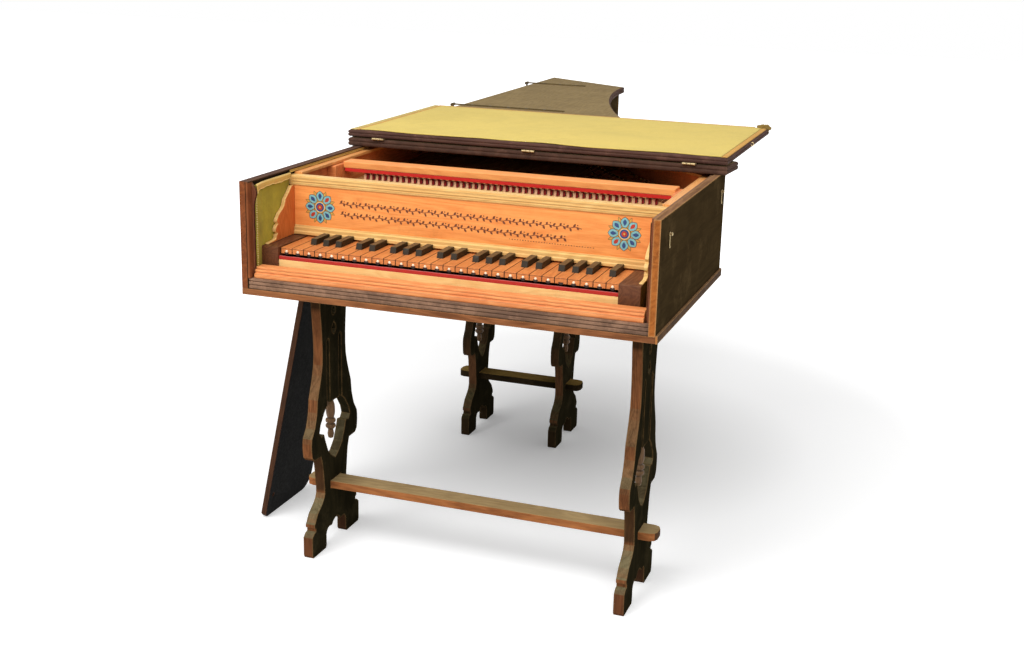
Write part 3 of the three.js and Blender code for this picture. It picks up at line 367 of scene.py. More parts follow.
def clothMaterial(name, tone, shade, stain, turn=(0, 0, 0), threads=850.0, sheen=0.05,
                  patchScale=6.0, patchMost=0.35, patchShade=0.88):
    material, tree, surface = startMaterial(name, 0.9, 0.15, sheen=sheen)
    vector = objectVector(tree, turn)
    weave = useGroup(tree, "weave", Vector=vector, Threads=threads, Slub=0.5)
    color = mixColor(tree, weave["Shade"], linear(shade), linear(tone))
    soil = useGroup(tree, "grime", Vector=vector, Scale=5.0, Amount=0.5)
    color = mixColor(tree, times(tree, soil["Mask"], 0.3), color, linear(stain))
    broad = span(tree, noiseAt(tree, vector, patchScale, detail=4.0), 0.35, 0.75, 0.0, patchMost)
    color = mixColor(tree, broad, color, linear(tone, patchShade))
    finishSurface(tree, surface, color, weave["Height"], 0.35, 0.0003)
    return material


def feltMaterial(name, tone, shade):
    material, tree, surface = startMaterial(name, 0.95, 0.1, sheen=0.4)
    vector = objectVector(tree)
    fluff = noiseAt(tree, vector, 1400.0, detail=4.0, roughness=0.8)
    clump = noiseAt(tree, vector, 90.0)
    share = calc(tree, "MULTIPLY_ADD", clump, 0.5, times(tree, fluff, 0.5), clamp=True)
    finishSurface(tree, surface, mixColor(tree, share, linear(shade), linear(tone)), fluff, 0.5, 0.0004)
    return material


def metalMaterial(name, tone, tarnish, roughness):
    material, tree, surface = startMaterial(name, roughness, 0.5, metallic=1.0)
    vector = objectVector(tree)
    grime = useGroup(tree, "grime", Vector=vector, Scale=60.0, Amount=0.4)
    wear = useGroup(tree, "wear", Vector=vector, Radius=0.0008, Amount=0.6, Scatter=300.0)
    color = mixColor(tree, grime["Mask"], linear(tone), linear(tarnish))
    color = mixColor(tree, times(tree, wear["Mask"], 0.6), color, linear(tone, 1.25))
    feed(tree, surface.inputs["Metallic"], span(tree, grime["Mask"], 0.0, 1.0, 1.0, 0.55))
    shine = span(tree, grime["Fine"], 0.3, 0.7, roughness - 0.1, roughness + 0.15)
    finishSurface(tree, surface, color, grime["Fine"], 0.15, 0.0002, shine)
    return material


# Hand paint on the nameboard: flat colour with brush variation
def brushMaterial(name, tone):
    material, tree, surface = startMaterial(name, 0.5, 0.35)
    drawn = vecCalc(tree, "MULTIPLY", objectVector(tree), (1.0, 1.0, 0.3))
    stroke = noiseAt(tree, drawn, 420.0, detail=5.0, roughness=0.7)
    color = mixColor(tree, span(tree, stroke, 0.3, 0.7), linear(tone, 0.78), linear(tone))
    finishSurface(tree, surface, color, stroke, 0.2, 0.0002)
    return material


def look(*tones, **settings):
    return tones, settings


frontWood = (toFront, (180, 108, 52), (126, 70, 34), 1.3)
bottomWood = (toFront, (154, 98, 60), (92, 54, 32), 1.15)
rimWood = (upward, (146, 108, 78), (98, 70, 50), 1.15)
spineRim = (upward, (96, 68, 54), (66, 46, 38), 1.3)
# Tone, shade and worn edge of each paint
paints = {
    "caseSide": look((75, 60, 38), (58, 46, 29), (182, 138, 90), along="y", specular=0.0,
                     faces=[frontWood, rimWood], edgeAmount=0.7, edgeRadius=0.005),
    "spineSide": look((48, 35, 17), (33, 25, 12), (110, 80, 56), along="y",
                      faces=[(toFront, (146, 82, 44), (98, 52, 30), 1.3), spineRim]),
    "caseFloor": look((64, 48, 34), (42, 32, 24), (176, 122, 76), faces=[bottomWood], edgeRadius=0.004),
    "baseMoulding": look((86, 60, 36), (60, 42, 26), (176, 134, 86), along="y",
                         faces=[frontWood, rimWood], edgeAmount=0.8, edgeRadius=0.004),
    "band": look((134, 102, 80), (92, 70, 58), (160, 122, 92), edgeAmount=0.5, edgeRadius=0.0012, scuff=0.5),
    "lining": look((92, 52, 34), (56, 32, 22), (130, 80, 50), along="z",
                   faces=[(toFront, (142, 82, 54), (98, 56, 38), 1.2), rimWood]),
    "lidTop": look((88, 62, 50), (60, 43, 36), (118, 88, 68), along="y",
                   faces=[(upward, (150, 128, 86), (124, 104, 68), 1.4, 0.95, 0.99)],
                   edgeAmount=0.5, edgeRadius=0.0018),
    "flapBoard": look((94, 66, 56), (64, 45, 40), (128, 96, 74),
                      faces=[(downward, (140, 120, 84), (116, 98, 66), 1.4, 0.95, 0.99)],
                      edgeAmount=0.5, edgeRadius=0.0018),
    "deskPaint": look((24, 23, 21), (14, 14, 14), (104, 68, 46), along="z", edgeAmount=0.62, edgeRadius=0.005,
                      faces=[(toFront, (84, 54, 36), (50, 34, 26), 1.2)]),
    "legPaint": look((47, 41, 26), (28, 26, 17), (118, 92, 58), along="z", specular=0.0,
                     edgeAmount=0.56, edgeRadius=0.0055,
                     faces=[(toFront, (140, 88, 54), (78, 48, 30), 1.0, 0.3, 0.8, 126, 136),
                            (upward, (126, 114, 84), (84, 74, 52), 1.0, 0.1, 0.75)],
                     bands=[(122, 206, (50, 38, 25), 0.8), (-20, 50, (84, 52, 36), 0.55),
                            # the band from 500 to 600 mm is painted shade under the case
                            (500, 600, (34, 30, 20), 0.75)]),
    "rearLegPaint": look((46, 40, 26), (28, 26, 17), (92, 72, 48), along="z", specular=0.0,
                         edgeAmount=0.56, edgeRadius=0.006,
                         faces=[(toFront, (112, 76, 50), (62, 42, 28), 0.95, 0.3, 0.8),
                                (upward, (98, 88, 60), (60, 52, 36), 0.95, 0.1, 0.75)],
                         bands=[(-20, 58, (38, 33, 22), 0.85), (206, 600, (44, 36, 24), 0.6)]),
    "stretcher": look((84, 58, 36), (54, 38, 25), (164, 112, 66),
                      faces=[(upward, (186, 158, 112), (150, 124, 84), 1.3),
                             (toFront, (176, 112, 64), (122, 72, 40), 1.25)]),
    "rearStretcher": look((52, 41, 26), (32, 26, 18), (92, 70, 44), specular=0.0, edgeAmount=0.5,
                          faces=[(upward, (172, 140, 78), (128, 102, 54), 1.2)]),
    "jamb": look((136, 78, 44), (94, 52, 31), (112, 64, 38), along="z"),
    "strapPaint": look((106, 90, 62), (74, 60, 40), (128, 108, 74), specular=0.0),
}
moulded = {"fibre": 1100.0, "figure": 20.0, "wearRadius": 0.0012}
pale = {"figure": 16.0, "wearAmount": 0.4, "wearRadius": 0.0012}
# Light and dark tone of each wood; the lines are painted shade at moulding steps and between turned rings
woods = {
    "cypress": look((252, 168, 92), (224, 130, 62), coat=0.06, fibre=700.0, figure=12.0),
    "cypressBack": look((226, 138, 80), (188, 100, 52), along="y"),
    "moulding": look((238, 152, 88), (202, 108, 58), wearTint=(250, 194, 134), **moulded),
    "railWood": look((252, 172, 98), (228, 138, 74), wearTint=(252, 200, 140), **moulded),
    "slipWood": look((242, 164, 100), (206, 116, 64), wearTint=(250, 198, 142), **moulded,
                     lines=[(2, 584.6, 0.8), (2, 588.6, 0.7), (2, 593.3, 0.7)]),
    "paleWood": look((238, 198, 126), (212, 158, 88), wearTint=(246, 220, 164), **pale),
    "topMoulding": look((240, 200, 128), (214, 160, 90), wearTint=(248, 222, 166), **pale,
                        lines=[(2, 730.6, 0.9), (2, 735.2, 0.6), (2, 741.5, 0.8), (1, 171.0, 0.7),
                               (1, 178.5, 0.6)]),
    "slipBoard": look((252, 216, 146), (228, 180, 110), wearTint=(252, 228, 174), **pale),
    "paleSide": look((240, 176, 106), (208, 132, 70), along="y", lines=[(0, 751.2, 0.7), (0, 27.6, 0.8)]),
    "scroll": look((222, 128, 62), (186, 92, 40), along="z", wearTint=(244, 200, 130), wearAmount=0.8,
                   wearRadius=0.0016, edgeWood=((246, 208, 138), (222, 168, 98))),
    "walnut": look((118, 72, 44), (74, 43, 27), along="y", fibre=600.0, figure=24.0, wearTint=(150, 102, 66)),
    "walnutX": look((118, 72, 44), (74, 43, 27), fibre=600.0, figure=24.0),
    "turnedWood": look((124, 92, 60), (72, 51, 33), along="z", fibre=1300.0, wearTint=(164, 132, 94),
                       wearAmount=0.6, lines=[(2, 240.0, 2.8), (2, 252.0, 3.0), (2, 263.8, 2.6)]),
    "soundwood": look((226, 172, 110), (196, 136, 80), along="y", fibre=420.0, rings=4.0),
    "jackWood": look((246, 204, 164), (218, 156, 116), along="z", fibre=1500.0),
    "pearl": look((250, 238, 214), (226, 204, 168), roughness=0.25, specular=0.6, coat=0.5),
}
felts = {
    "railFelt": look((232, 46, 34), (172, 28, 24)),
    "redFelt": look((206, 56, 42), (140, 26, 22)),
    "darkFelt": look((168, 36, 32), (96, 20, 18)),
}
wellTurn = (90, 0, 90)  # the weave's X and Y lie along the well's sides
# Tone, shade and stain of each cloth
cloths = {
    "olive": look((206, 190, 68), (140, 128, 38), (96, 84, 26), turn=wellTurn,
                  patchScale=24.0, patchMost=0.9, patchShade=0.66),
    "mustard": look((232, 207, 114), (208, 181, 85), (176, 156, 78), sheen=0.08),
    "braid": look((232, 182, 94), (188, 130, 58), (150, 106, 56), threads=1500.0),
    "paleBraid": look((222, 200, 130), (178, 152, 84), (140, 124, 66), threads=1500.0),
    "goldCloth": look((238, 196, 104), (190, 148, 66), (130, 98, 44), turn=wellTurn, sheen=0.08),
    "cordCloth": look((255, 228, 146), (224, 180, 98), (160, 124, 60), turn=wellTurn, threads=1500.0,
                      sheen=0.08),
    "knotCloth": look((168, 140, 74), (96, 72, 36), (60, 44, 26), threads=1200.0),
}
# Tone, tarnish and roughness of each metal
metals = {
    "brass": look((222, 198, 146), (138, 116, 78), 0.4),
    "hookBrass": look((176, 156, 116), (94, 80, 56), 0.5),
    "iron": look((96, 90, 80), (46, 38, 30), 0.55),
}
brushed = {
    "inkBrown": look((96, 56, 34)), "vineBrown": look((118, 62, 34)), "paintBlue": look((52, 78, 128)),
    "paintSky": look((136, 198, 200)), "paintGold": look((222, 170, 78)), "paintRed": look((196, 60, 40)),
    # The last tone is painted shade for the recesses under the key pearls
    "paintWhite": look((240, 226, 200)), "recessDark": look((46, 24, 14)),
}
materials = {}
for maker, looks in ((paintMaterial, paints), (woodMaterial, woods), (feltMaterial, felts),
                     (clothMaterial, cloths), (metalMaterial, metals), (brushMaterial, brushed)):
    for name, (tones, settings) in looks.items():
        materials[name] = maker(name, *tones, **settings)
print("materials made:", len(materials))

# Camera, floor and light
cameraLook = {
    "place": (1311.364, -2207.480, 1220.365),
    "right": (0.94090, 0.33790, 0.02315),
    "up": (-0.11469, 0.25355, 0.96051),
    "lens": 49.083, "sensor": 36.0, "nearest": 0.05,
}


def addCamera(view):
    data = bpy.data.cameras.new("view")
    data.lens, data.sensor_width, data.clip_start = view["lens"], view["sensor"], view["nearest"]
    camera = bpy.data.objects.new("view", data)
    right, up = Vector(view["right"]).normalized(), Vector(view["up"])
    up = (up - right * up.dot(right)).normalized()
    turn = Matrix((right, up, right.cross(up))).transposed()
    camera.matrix_world = Matrix.Translation(at(*view["place"])) @ turn.to_4x4()
    scene.collection.objects.link(camera)
    scene.camera = camera


studio = {
    "worldStrength": 0.5,
    "floorTone": 0.82, "floorSize": 24.0, "floorZ": -0.0004,
    "glowNear": 0.4, "glowFar": 1.0, "glowFrom": 0.85, "glowTo": 2.0,
    # the drop close under the object is a painted shadow on the floor
    "shadowDrop": 0.22, "shadowFrom": 0.15, "shadowTo": 0.6,
    "lamps": [
        {"name": "topLamp", "place": (0.3, -0.6, 3.2), "aim": (0.0, 0.0, 0.4), "size": 3.0, "power": 12.0},
        {"name": "frontLamp", "place": (-0.7, -2.7, 2.9), "aim": (0.0, -0.6, 0.6), "size": 2.4,
         "power": 82.0},
        {"name": "cameraLamp", "place": (1.5, -3.0, 2.5), "aim": (0.0, -0.6, 0.6), "size": 1.6,
         "power": 20.0},
    ],
}


# 1 where the camera, a gloss or a glass looks, so that all of them see the white
def seenRays(tree):
    path = put(tree, "ShaderNodeLightPath").outputs
    some = calc(tree, "MAXIMUM", path["Is Camera Ray"], path["Is Glossy Ray"])
    return calc(tree, "MAXIMUM", some, path["Is Transmission Ray"])


def addWorld(room):
    world = bpy.data.worlds.new("studio")
    scene.world = world
    world.use_nodes = True
    tree = world.node_tree
    back = tree.nodes["Background"]
    back.inputs["Color"].default_value = (1, 1, 1, 1)
    feed(tree, back.inputs["Strength"], span(tree, seenRays(tree), 0.0, 1.0, room["worldStrength"], 1.0))


# The floor glows white for the camera, less so near the object, where its shadow lies, and close under the
# object it is darkened further as a painted shadow
def addFloor(room):
    bpy.ops.mesh.primitive_plane_add(size=room["floorSize"], location=(0, 0, room["floorZ"]))
    floor = bpy.context.object
    floor.name = "studioFloor"
    material, tree, surface = startMaterial("floorWhite", 0.9, 0.1)
    surface.inputs["Base Color"].default_value = (*[room["floorTone"]] * 3, 1)
    surface.inputs["Emission Color"].default_value = (1, 1, 1, 1)
    reach = vecCalc(tree, "LENGTH", objectVector(tree))
    glow = span(tree, reach, room["glowFrom"], room["glowTo"], room["glowNear"], room["glowFar"])
    # A painted shadow: the glow drops further close under the object
    core = span(tree, reach, room["shadowFrom"], room["shadowTo"], room["shadowDrop"], 0.0)
    feed(tree, surface.inputs["Emission Strength"], times(tree, seenRays(tree), minus(tree, glow, core)))
    floor.data.materials.append(material)


def addLamp(lamp):
    data = bpy.data.lights.new(lamp["name"], "AREA")
    data.shape, data.size, data.energy = "DISK", lamp["size"], lamp["power"]
    light = bpy.data.objects.new(lamp["name"], data)
    light.location = lamp["place"]
    aim = Vector(lamp["aim"]) - Vector(lamp["place"])
    light.rotation_euler = aim.to_track_quat("-Z", "Y").to_euler()
    scene.collection.objects.link(light)


addCamera(cameraLook)
addWorld(studio)
addFloor(studio)
for lamp in studio["lamps"]:
    addLamp(lamp)
scene.view_settings.view_transform = "Standard"
print("camera, floor and lamps placed")

# Keyboard measures; the gaps between naturals take a painted shade tone
keyboard = {
    "left": 50.5, "pitch": 23.5, "count": 28, "front": 60.0, "top": 628.0, "lineDown": 1.6, "lineHalf": 0.35,
    "gapFrom": 0.452, "gapTo": 0.472, "gapShadeAndLineTone": (52, 30, 20),
}


# Key tops differ a little from key to key. Naturals have painted shade in the gaps between them and a dark
# line under the front arris, and sharps have sides of their own tone
def keyMaterial(name, light, dark, roughness, sides=None):
    material, tree, surface = startMaterial(name, roughness, 0.2, coat=0.04)
    vector = objectVector(tree, grainTurns["y"])
    grain = woodIn(tree, vector, light, dark, 1200.0, 30.0, 10.0, 0.4)
    place = xyz(tree, objectVector(tree))
    number = minus(tree, place[0], at(keyboard["left"], 0, 0).x)
    number = calc(tree, "DIVIDE", number, keyboard["pitch"] * mm)
    whole = calc(tree, "FLOOR", number)
    chance = put(tree, "ShaderNodeTexWhiteNoise", {"noise_dimensions": "1D"}, W=whole).outputs[0]
    color = mixColor(tree, span(tree, chance, 0.0, 1.0, 0.0, 0.4), grain["Color"], linear(dark))
    rub = noiseAt(tree, vector, 55.0, detail=4.0)
    color = mixColor(tree, span(tree, rub, 0.5, 0.8, 0.0, 0.35), color, linear(dark, 0.8))
    if sides:
        color = mixColor(tree, minus(tree, 1.0, facing(tree, upward, 0.3, 0.8)), color, linear(sides))
    else:
        away = between(tree, place[2], (keyboard["top"] - keyboard["lineDown"]) * mm)
        line = calc(tree, "LESS_THAN", away, keyboard["lineHalf"] * mm)
        line = times(tree, line, facing(tree, toFront))
        # painted shade in the gaps between naturals, in the same dark tone as the line under the front arris
        side = between(tree, calc(tree, "FRACT", number), 0.5)
        line = calc(tree, "MAXIMUM", line, span(tree, side, keyboard["gapFrom"], keyboard["gapTo"]))
        color = mixColor(tree, line, color, linear(keyboard["gapShadeAndLineTone"]))
    finishSurface(tree, surface, color, grain["Height"], 0.2, 0.0003)
    return material


materials["keyWood"] = keyMaterial("keyWood", (228, 148, 82), (186, 106, 54), 0.45)
materials["sharpWood"] = keyMaterial("sharpWood", (112, 92, 60), (74, 56, 38), 0.5, sides=(42, 33, 20))

# CAD pieces that keep their shape: the pieces of each finish, with the arris of each in millimetres
finishes = {
    "caseFloor": {"case_bottom": 1.0},
    "spineSide": {"case_spine": 1.2},
    "caseSide": {"case_cheek": 0.0, "case_bentside": 0.8, "case_tail": 0.8},
    "baseMoulding": {"case_base_moulding": 1.6},
    "band": {"front_band": 0.5},
    "lining": {"front_lining_bass": 1.2, "front_lining_treble": 1.2},
    "cypressBack": {"inner_bottom": 0.0, "inner_bentside": 0.0, "inner_tail": 0.0, "jack_guide": 0.0,
                    "inner_spine_side": 0.6, "inner_cheek_side": 0.6},
    "cypress": {"nameboard": 0.0},
    "paleSide": {"cap_moulding": 1.4},
    "paleWood": {"nameboard_lower_moulding": 0.6},
    "topMoulding": {"nameboard_upper_moulding": 0.6},
    "scroll": {"scroll_cheek_bass": 1.6, "scroll_cheek_treble": 1.6},
    "slipBoard": {"key_slip": 0.5},
    "slipWood": {"key_slip_moulding": 0.7},
    "redFelt": {"key_slip_felt": 0.8},
    "walnut": {"key_block_bass": 1.2, "key_block_treble": 1.2, "bridge": 1.6},
    "walnutX": {"key_frame": 0.0, "wrest_plank": 0.6, "belly_rail": 0.6, "nut": 1.2},
    "keyWood": {"natural_keys": 0.5},
    "sharpWood": {"sharp_keys": 0.7},
    "jackWood": {"natural_jacks": 0.4, "sharp_jacks": 0.4},
    "railWood": {"jack_rail": 1.6},
    "railFelt": {"jack_rail_felt": 0.8},
    "moulding": {"jack_rail_bracket_bass": 1.6, "jack_rail_bracket_treble": 1.6},
    "soundwood": {"soundboard": 0.0},
    "legPaint": {"front_leg_bass": 1.0, "front_leg_treble": 1.0},
    "rearLegPaint": {"rear_leg_bass": 1.0, "rear_leg_treble": 1.0},
    "stretcher": {"front_stretcher": 1.6},
    "rearStretcher": {"rear_stretcher": 1.6},
    "deskPaint": {"music_desk": 1.6},
    "iron": {f"lid_hinge_plate_{n}": 0.4 for n in (1, 2, 3)},
    "strapPaint": {f"lid_hinge_strap_{n}": 0.3 for n in (1, 2, 3)},
    "brass": {"front_hook": 0.3, "rear_hook": 0.3},
}
arrisLook = {"weld": 0.00002, "segments": 2, "angle": 38}


def finishNode(piece, finish, arris):
    piece.data.materials.clear()
    piece.data.materials.append(materials[finish])
    if arris:
        piece.modifiers.new("weld", "WELD").merge_threshold = arrisLook["weld"]
        bevel = piece.modifiers.new("arris", "BEVEL")
        bevel.width, bevel.segments = arris * mm, arrisLook["segments"]
        bevel.limit_method, bevel.angle_limit = "ANGLE", math.radians(arrisLook["angle"])


for finish, pieces in finishes.items():
    for name, arris in pieces.items():
        finishNode(nodes[name], finish, arris)
print("CAD pieces finished:", sum(len(pieces) for pieces in finishes.values()))


# Mesh helpers
def meshFrom(name, shape, finishList, smooth=False):
    bmesh.ops.recalc_face_normals(shape, faces=shape.faces)
    mesh = bpy.data.meshes.new(name)
    shape.to_mesh(mesh)
    shape.free()
    for finish in finishList:
        mesh.materials.append(materials[finish])
    for face in mesh.polygons:
        face.use_smooth = smooth
    return mesh


def addPiece(name, shape, finishList, body, smooth=False, replaced=None):
    piece = bpy.data.objects.new(name, meshFrom(name, shape, finishList, smooth))
    scene.collection.objects.link(piece)
    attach(piece, body)
    if replaced:
        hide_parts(replaced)
    return piece


# A solid through rings of places, closed at both ends
def addRings(shape, rings, finish=0):
    rows = [[shape.verts.new(place) for place in ring] for ring in rings]
    count = len(rows[0])
    for low, high in zip(rows, rows[1:]):
        for i in range(count):
            j = (i + 1) % count
            shape.faces.new((low[i], low[j], high[j], high[i])).material_index = finish
    for ring in (list(reversed(rows[0])), rows[-1]):
        shape.faces.new(ring).material_index = finish


def circle(radius, sides, extra=0):
    turns = [2 * math.pi * i / sides for i in range(sides + extra)]
    return [(radius * math.cos(a), radius * math.sin(a)) for a in turns]


def rectangle(x0, x1, y0, y1):
    return (x0, y0), (x1, y0), (x1, y1), (x0, y1)


def insetOutline(outline, amount):
    moved = []
    for i, place in enumerate(outline):
        before = (place - outline[i - 1]).normalized()
        after = (outline[(i + 1) % len(outline)] - place).normalized()
        inBefore = Vector((-before.y, before.x))
        inward = (inBefore + Vector((-after.y, after.x))).normalized()
        moved.append(place + inward * (amount / max(0.3, inward.dot(inBefore))))
    return moved


# The curved side of the case, as the CAD draws it: a curve with two handles, as shares of its run
case = {"width": 791.0, "cheek": 532.0, "spine": 1863.0, "tail": Vector((239.0, 1727.0)),
        "handles": ((0.51, 0.197), (0.007, 0.312))}


def bentLine(inset, steps=40):
    start, stop = Vector((case["width"], case["cheek"])), case["tail"]
    run = stop - start
    first, second = (Vector((run.x * x, run.y * y)) for x, y in case["handles"])
    first, second = start + first, stop - second
    places = []
    for i in range(steps + 1):
        t = i / steps
        u = 1 - t
        place = start * u ** 3 + first * (3 * u * u * t) + second * (3 * u * t * t) + stop * t ** 3
        along = (first - start) * (3 * u * u) + (second - first) * (6 * u * t) + (stop - second) * (3 * t * t)
        along.normalize()
        places.append(place - Vector((along.y, -along.x)) * inset)
    return places


tailRun = Vector((case["tail"].x, case["tail"].y - case["spine"]))
tailNormal = Vector((-tailRun.y, tailRun.x)).normalized()
tailLevel = tailNormal.dot(case["tail"])


def tailAtX(x, inset):
    return (tailLevel - inset - tailNormal.x * x) / tailNormal.y


# Lid and flap boards with a two-band moulded edge: shares of the thickness and how far each lies in
boards = {
    "edge": [(0.0, 3.2), (0.06, 1.4), (0.18, 0.3), (0.34, 0.0), (0.46, 0.5), (0.52, 1.9), (0.57, 0.9),
             (0.7, 0.1), (0.84, 0.5), (0.95, 2.0), (1.0, 4.2)],
    "overhang": 13.0, "cornerOut": 31.0, "cornerFade": 3, "shoulder": (1.6, 12),
    "lidFront": 476.0, "lidLow": 759.3, "lidHigh": 776.3, "flapBack": 948.0, "flapLow": 779.0,
    "flapHigh": 793.0,
}
lidLeft, lidRight = -boards["overhang"], case["width"] + boards["overhang"]


# The lid's corner over the end of the cheek stands out further than the rest of its curved side
def lidOutline():
    out = boards["overhang"]
    lines = zip(bentLine(-out), bentLine(-boards["cornerOut"]))
    bent = [near.lerp(far, math.exp(-i / boards["cornerFade"])) for i, (near, far) in enumerate(lines)]
    bent = [p for p in bent if tailNormal.dot(p) < tailLevel + out]
    end = Vector((bent[-1].x, tailAtX(bent[-1].x, -out)))
    back, down = boards["shoulder"]
    return [Vector((lidLeft, boards["lidFront"])), Vector((lidRight, boards["lidFront"])),
            Vector((bent[0].x - back, bent[0].y - down)), *bent, end,
            Vector((lidLeft, tailAtX(lidLeft, -out)))]


def flapOutline():
    return [Vector(p) for p in rectangle(lidLeft, lidRight, boards["lidFront"], boards["flapBack"])]


for name, outline, low, high, finish, body, node in (
        ("lidBoard", lidOutline(), boards["lidLow"], boards["lidHigh"], "lidTop", "lid", "lid"),
        ("flapBoard", flapOutline(), boards["flapLow"], boards["flapHigh"], "flapBoard", "flap", "lid_flap")):
    shape = bmesh.new()
    addRings(shape, [[at(p.x, p.y, low + (high - low) * share) for p in insetOutline(outline, inset)]
                     for share, inset in boards["edge"]])
    addPiece(name, shape, [finish], body, replaced=node)
print("lid and flap boards made")


# A closed sheet of two layers: place(u, v) gives the outer point in millimetres and its outward normal
def addSheet(shape, across, along, place, thick, finish=0):
    outer, inner = [], []
    for j in range(along + 1):
        for i in range(across + 1):
            point, normal = place(i / across, j / along)
            outer.append(shape.verts.new(at(*point)))
            inner.append(shape.verts.new(at(*(Vector(point) - Vector(normal) * thick))))
    wide = across + 1
    for j in range(along):
        for i in range(across):
            k = j * wide + i
            for quad in ((outer[k], outer[k + 1], outer[k + 1 + wide], outer[k + wide]),
                         (inner[k], inner[k + wide], inner[k + 1 + wide], inner[k + 1])):
                shape.faces.new(quad).material_index = finish
    rim = list(range(across)) + [j * wide + across for j in range(along)]
    rim += [along * wide + i for i in range(across, 0, -1)] + [j * wide for j in range(along, 0, -1)]
    for a, b in zip(rim, rim[1:] + rim[:1]):
        shape.faces.new((outer[b], outer[a], inner[a], inner[b])).material_index = finish


# One sheet as a piece; where second(x, y, z) holds, a face takes the second finish
def addCloth(name, across, along, place, thick, finishList, body, replaced=None, second=None):
    shape = bmesh.new()
    addSheet(shape, across, along, place, thick)
    for face in shape.faces if second else ():
        face.material_index = 1 if second(*measured(face.calc_center_median())) else 0
    return addPiece(name, shape, finishList, body, smooth=True, replaced=replaced)


# Cloth on the flap: its front edge waves and its top has a few low creases, calm near both sides
flapCover = {
    "left": 11.6, "right": 789.5, "front": 476.0, "back": 936.4, "top": 794.5, "thick": 1.2,
    "shortMean": 7.0, "shortWave": 4.4, "shortRipple": 1.6, "crease": 0.55, "curl": 0.9,
    "calmFrom": 25, "calmTo": 755, "calmOver": 60,
}


def clothFront(x):
    wave = math.sin(x / 60 + 1.88) * flapCover["shortWave"] + math.sin(x / 21) * flapCover["shortRipple"]
    return flapCover["front"] + max(2.0, flapCover["shortMean"] + wave)


def flapClothPlace(u, v):
    x = flapCover["left"] + (flapCover["right"] - flapCover["left"]) * u
    front = clothFront(x)
    y = front + (flapCover["back"] - front) * v
    broad = noise.noise(Vector((x / 160, y / 70, 3.1)))
    crease = noise.noise(Vector((x / 55 + y / 90, y / 42 - x / 260, 8.4)))
    lift = flapCover["crease"] * (0.5 * broad + 0.7 * abs(crease))
    curl = flapCover["curl"] * math.exp(-(y - front) / 5) * (0.5 + 0.5 * math.sin(x / 31))
    inside = max(0.0, min(x - flapCover["calmFrom"], flapCover["calmTo"] - x))
    calm = min(1.0, 0.15 + inside / flapCover["calmOver"])
    return (x, y, flapCover["top"] + (max(0.0, lift) + curl) * calm), (0, 0, 1)


# Plaited strips round the cloth. Each runs along x or y between two places, with its two sides, its
# thickness and the number of its finish
braidFront, braidBack = flapCover["front"] + 4, flapCover["back"] + 0.2
flapBraids = {
    "base": boards["flapHigh"] + 0.25, "strand": 5.0, "scallop": 0.35, "ripple": 0.2, "drop": 0.7,
    "sheet": 0.7, "across": 5, "finishes": ["braid", "paleBraid"],
    "strips": [("y", braidFront, braidBack + 5, -10.5, 3.4, 1.15, 1),
               ("y", braidFront, braidBack, 3.8, 11.2, 1.35, 0),
               ("y", braidFront, braidBack - 12, 790.3, 801.6, 1.35, 0),
               ("x", 4.0, 772.0, 937.0, 946.4, 1.35, 0)],
}


# The edges of a strip scallop and its top rises at each strand
def addBraid(shape, along, start, stop, low, high, thick, finish):
    def place(u, v):
        far = start + (stop - start) * v
        turn = math.pi * far / flapBraids["strand"]
        scallop = flapBraids["scallop"] * math.sin(turn * 2) * (1 if u > 0.5 else -1)
        side = low + (high - low) * u + (scallop if u in (0.0, 1.0) else 0.0)
        ripple = flapBraids["ripple"] * abs(math.sin(turn + 2.2 * u))
        z = flapBraids["base"] + thick + ripple - flapBraids["drop"] * abs(2 * u - 1) ** 3
        return ((side, far, z) if along == "y" else (far, side, z)), (0, 0, 1)

    steps = int((stop - start) / flapBraids["strand"] * 4)
    addSheet(shape, flapBraids["across"], steps, place, flapBraids["sheet"], finish)


def makeFlapBraid():
    shape = bmesh.new()
    for strip in flapBraids["strips"]:
        addBraid(shape, *strip)
    return addPiece("flapBraid", shape, flapBraids["finishes"], "flap", smooth=True)


# The bunched end at the back right corner lies on the board and hangs a little over its side
knot = {
    "centre": (794.0, 936.5, 794.0), "size": (15.5, 10.0, 9.0), "core": 0.88, "fold": (1.7, 0.3),
    "crease": (3.9, 0.22), "gap": (0.3, 0.2), "overlap": 5, "hang": 1.5,
}


def makeClothKnot():
    shape = bmesh.new()
    bmesh.ops.create_icosphere(shape, subdivisions=5, radius=1.0)
    wallX, floorZ = lidRight + knot["gap"][0], boards["flapHigh"] + knot["gap"][1]
    for vert in shape.verts:
        place = vert.co.copy()
        fold = noise.noise(place * knot["fold"][0] + Vector((4, 1, 7))) * knot["fold"][1]
        fold += abs(noise.noise(place * knot["crease"][0])) * knot["crease"][1]
        place *= knot["core"] + fold
        place = Vector(knot["centre"]) + Vector([a * b for a, b in zip(place, knot["size"])])
        if place.z < floorZ and place.x < wallX:
            if wallX - place.x < knot["overlap"] and place.z < floorZ - knot["hang"]:
                place.x = wallX
            else:
                place.z = floorZ
        vert.co = at(*place)
    return addPiece("clothKnot", shape, ["knotCloth"], "flap", smooth=True)


flapCloth = addCloth("flapCloth", 180, 90, flapClothPlace, flapCover["thick"], ["mustard"],
                     "flap", replaced="flap_cloth")
flapBraid = makeFlapBraid()
clothKnot = makeClothKnot()
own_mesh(clothKnot)
print("flap cloth, braid and knot made")

# Cloth on the well's two sides. The bass one bends outwards towards its front edge
wellCloth = {
    "front": 24.3, "trebleFront": 16.4, "back": 163.2, "low": 577.5, "high": 749.5, "thick": 1.0,
    "frontX": 19.6, "bassX": 14.2, "trebleX": 769.3, "bendTo": 62.0, "bareTo": 18,
}


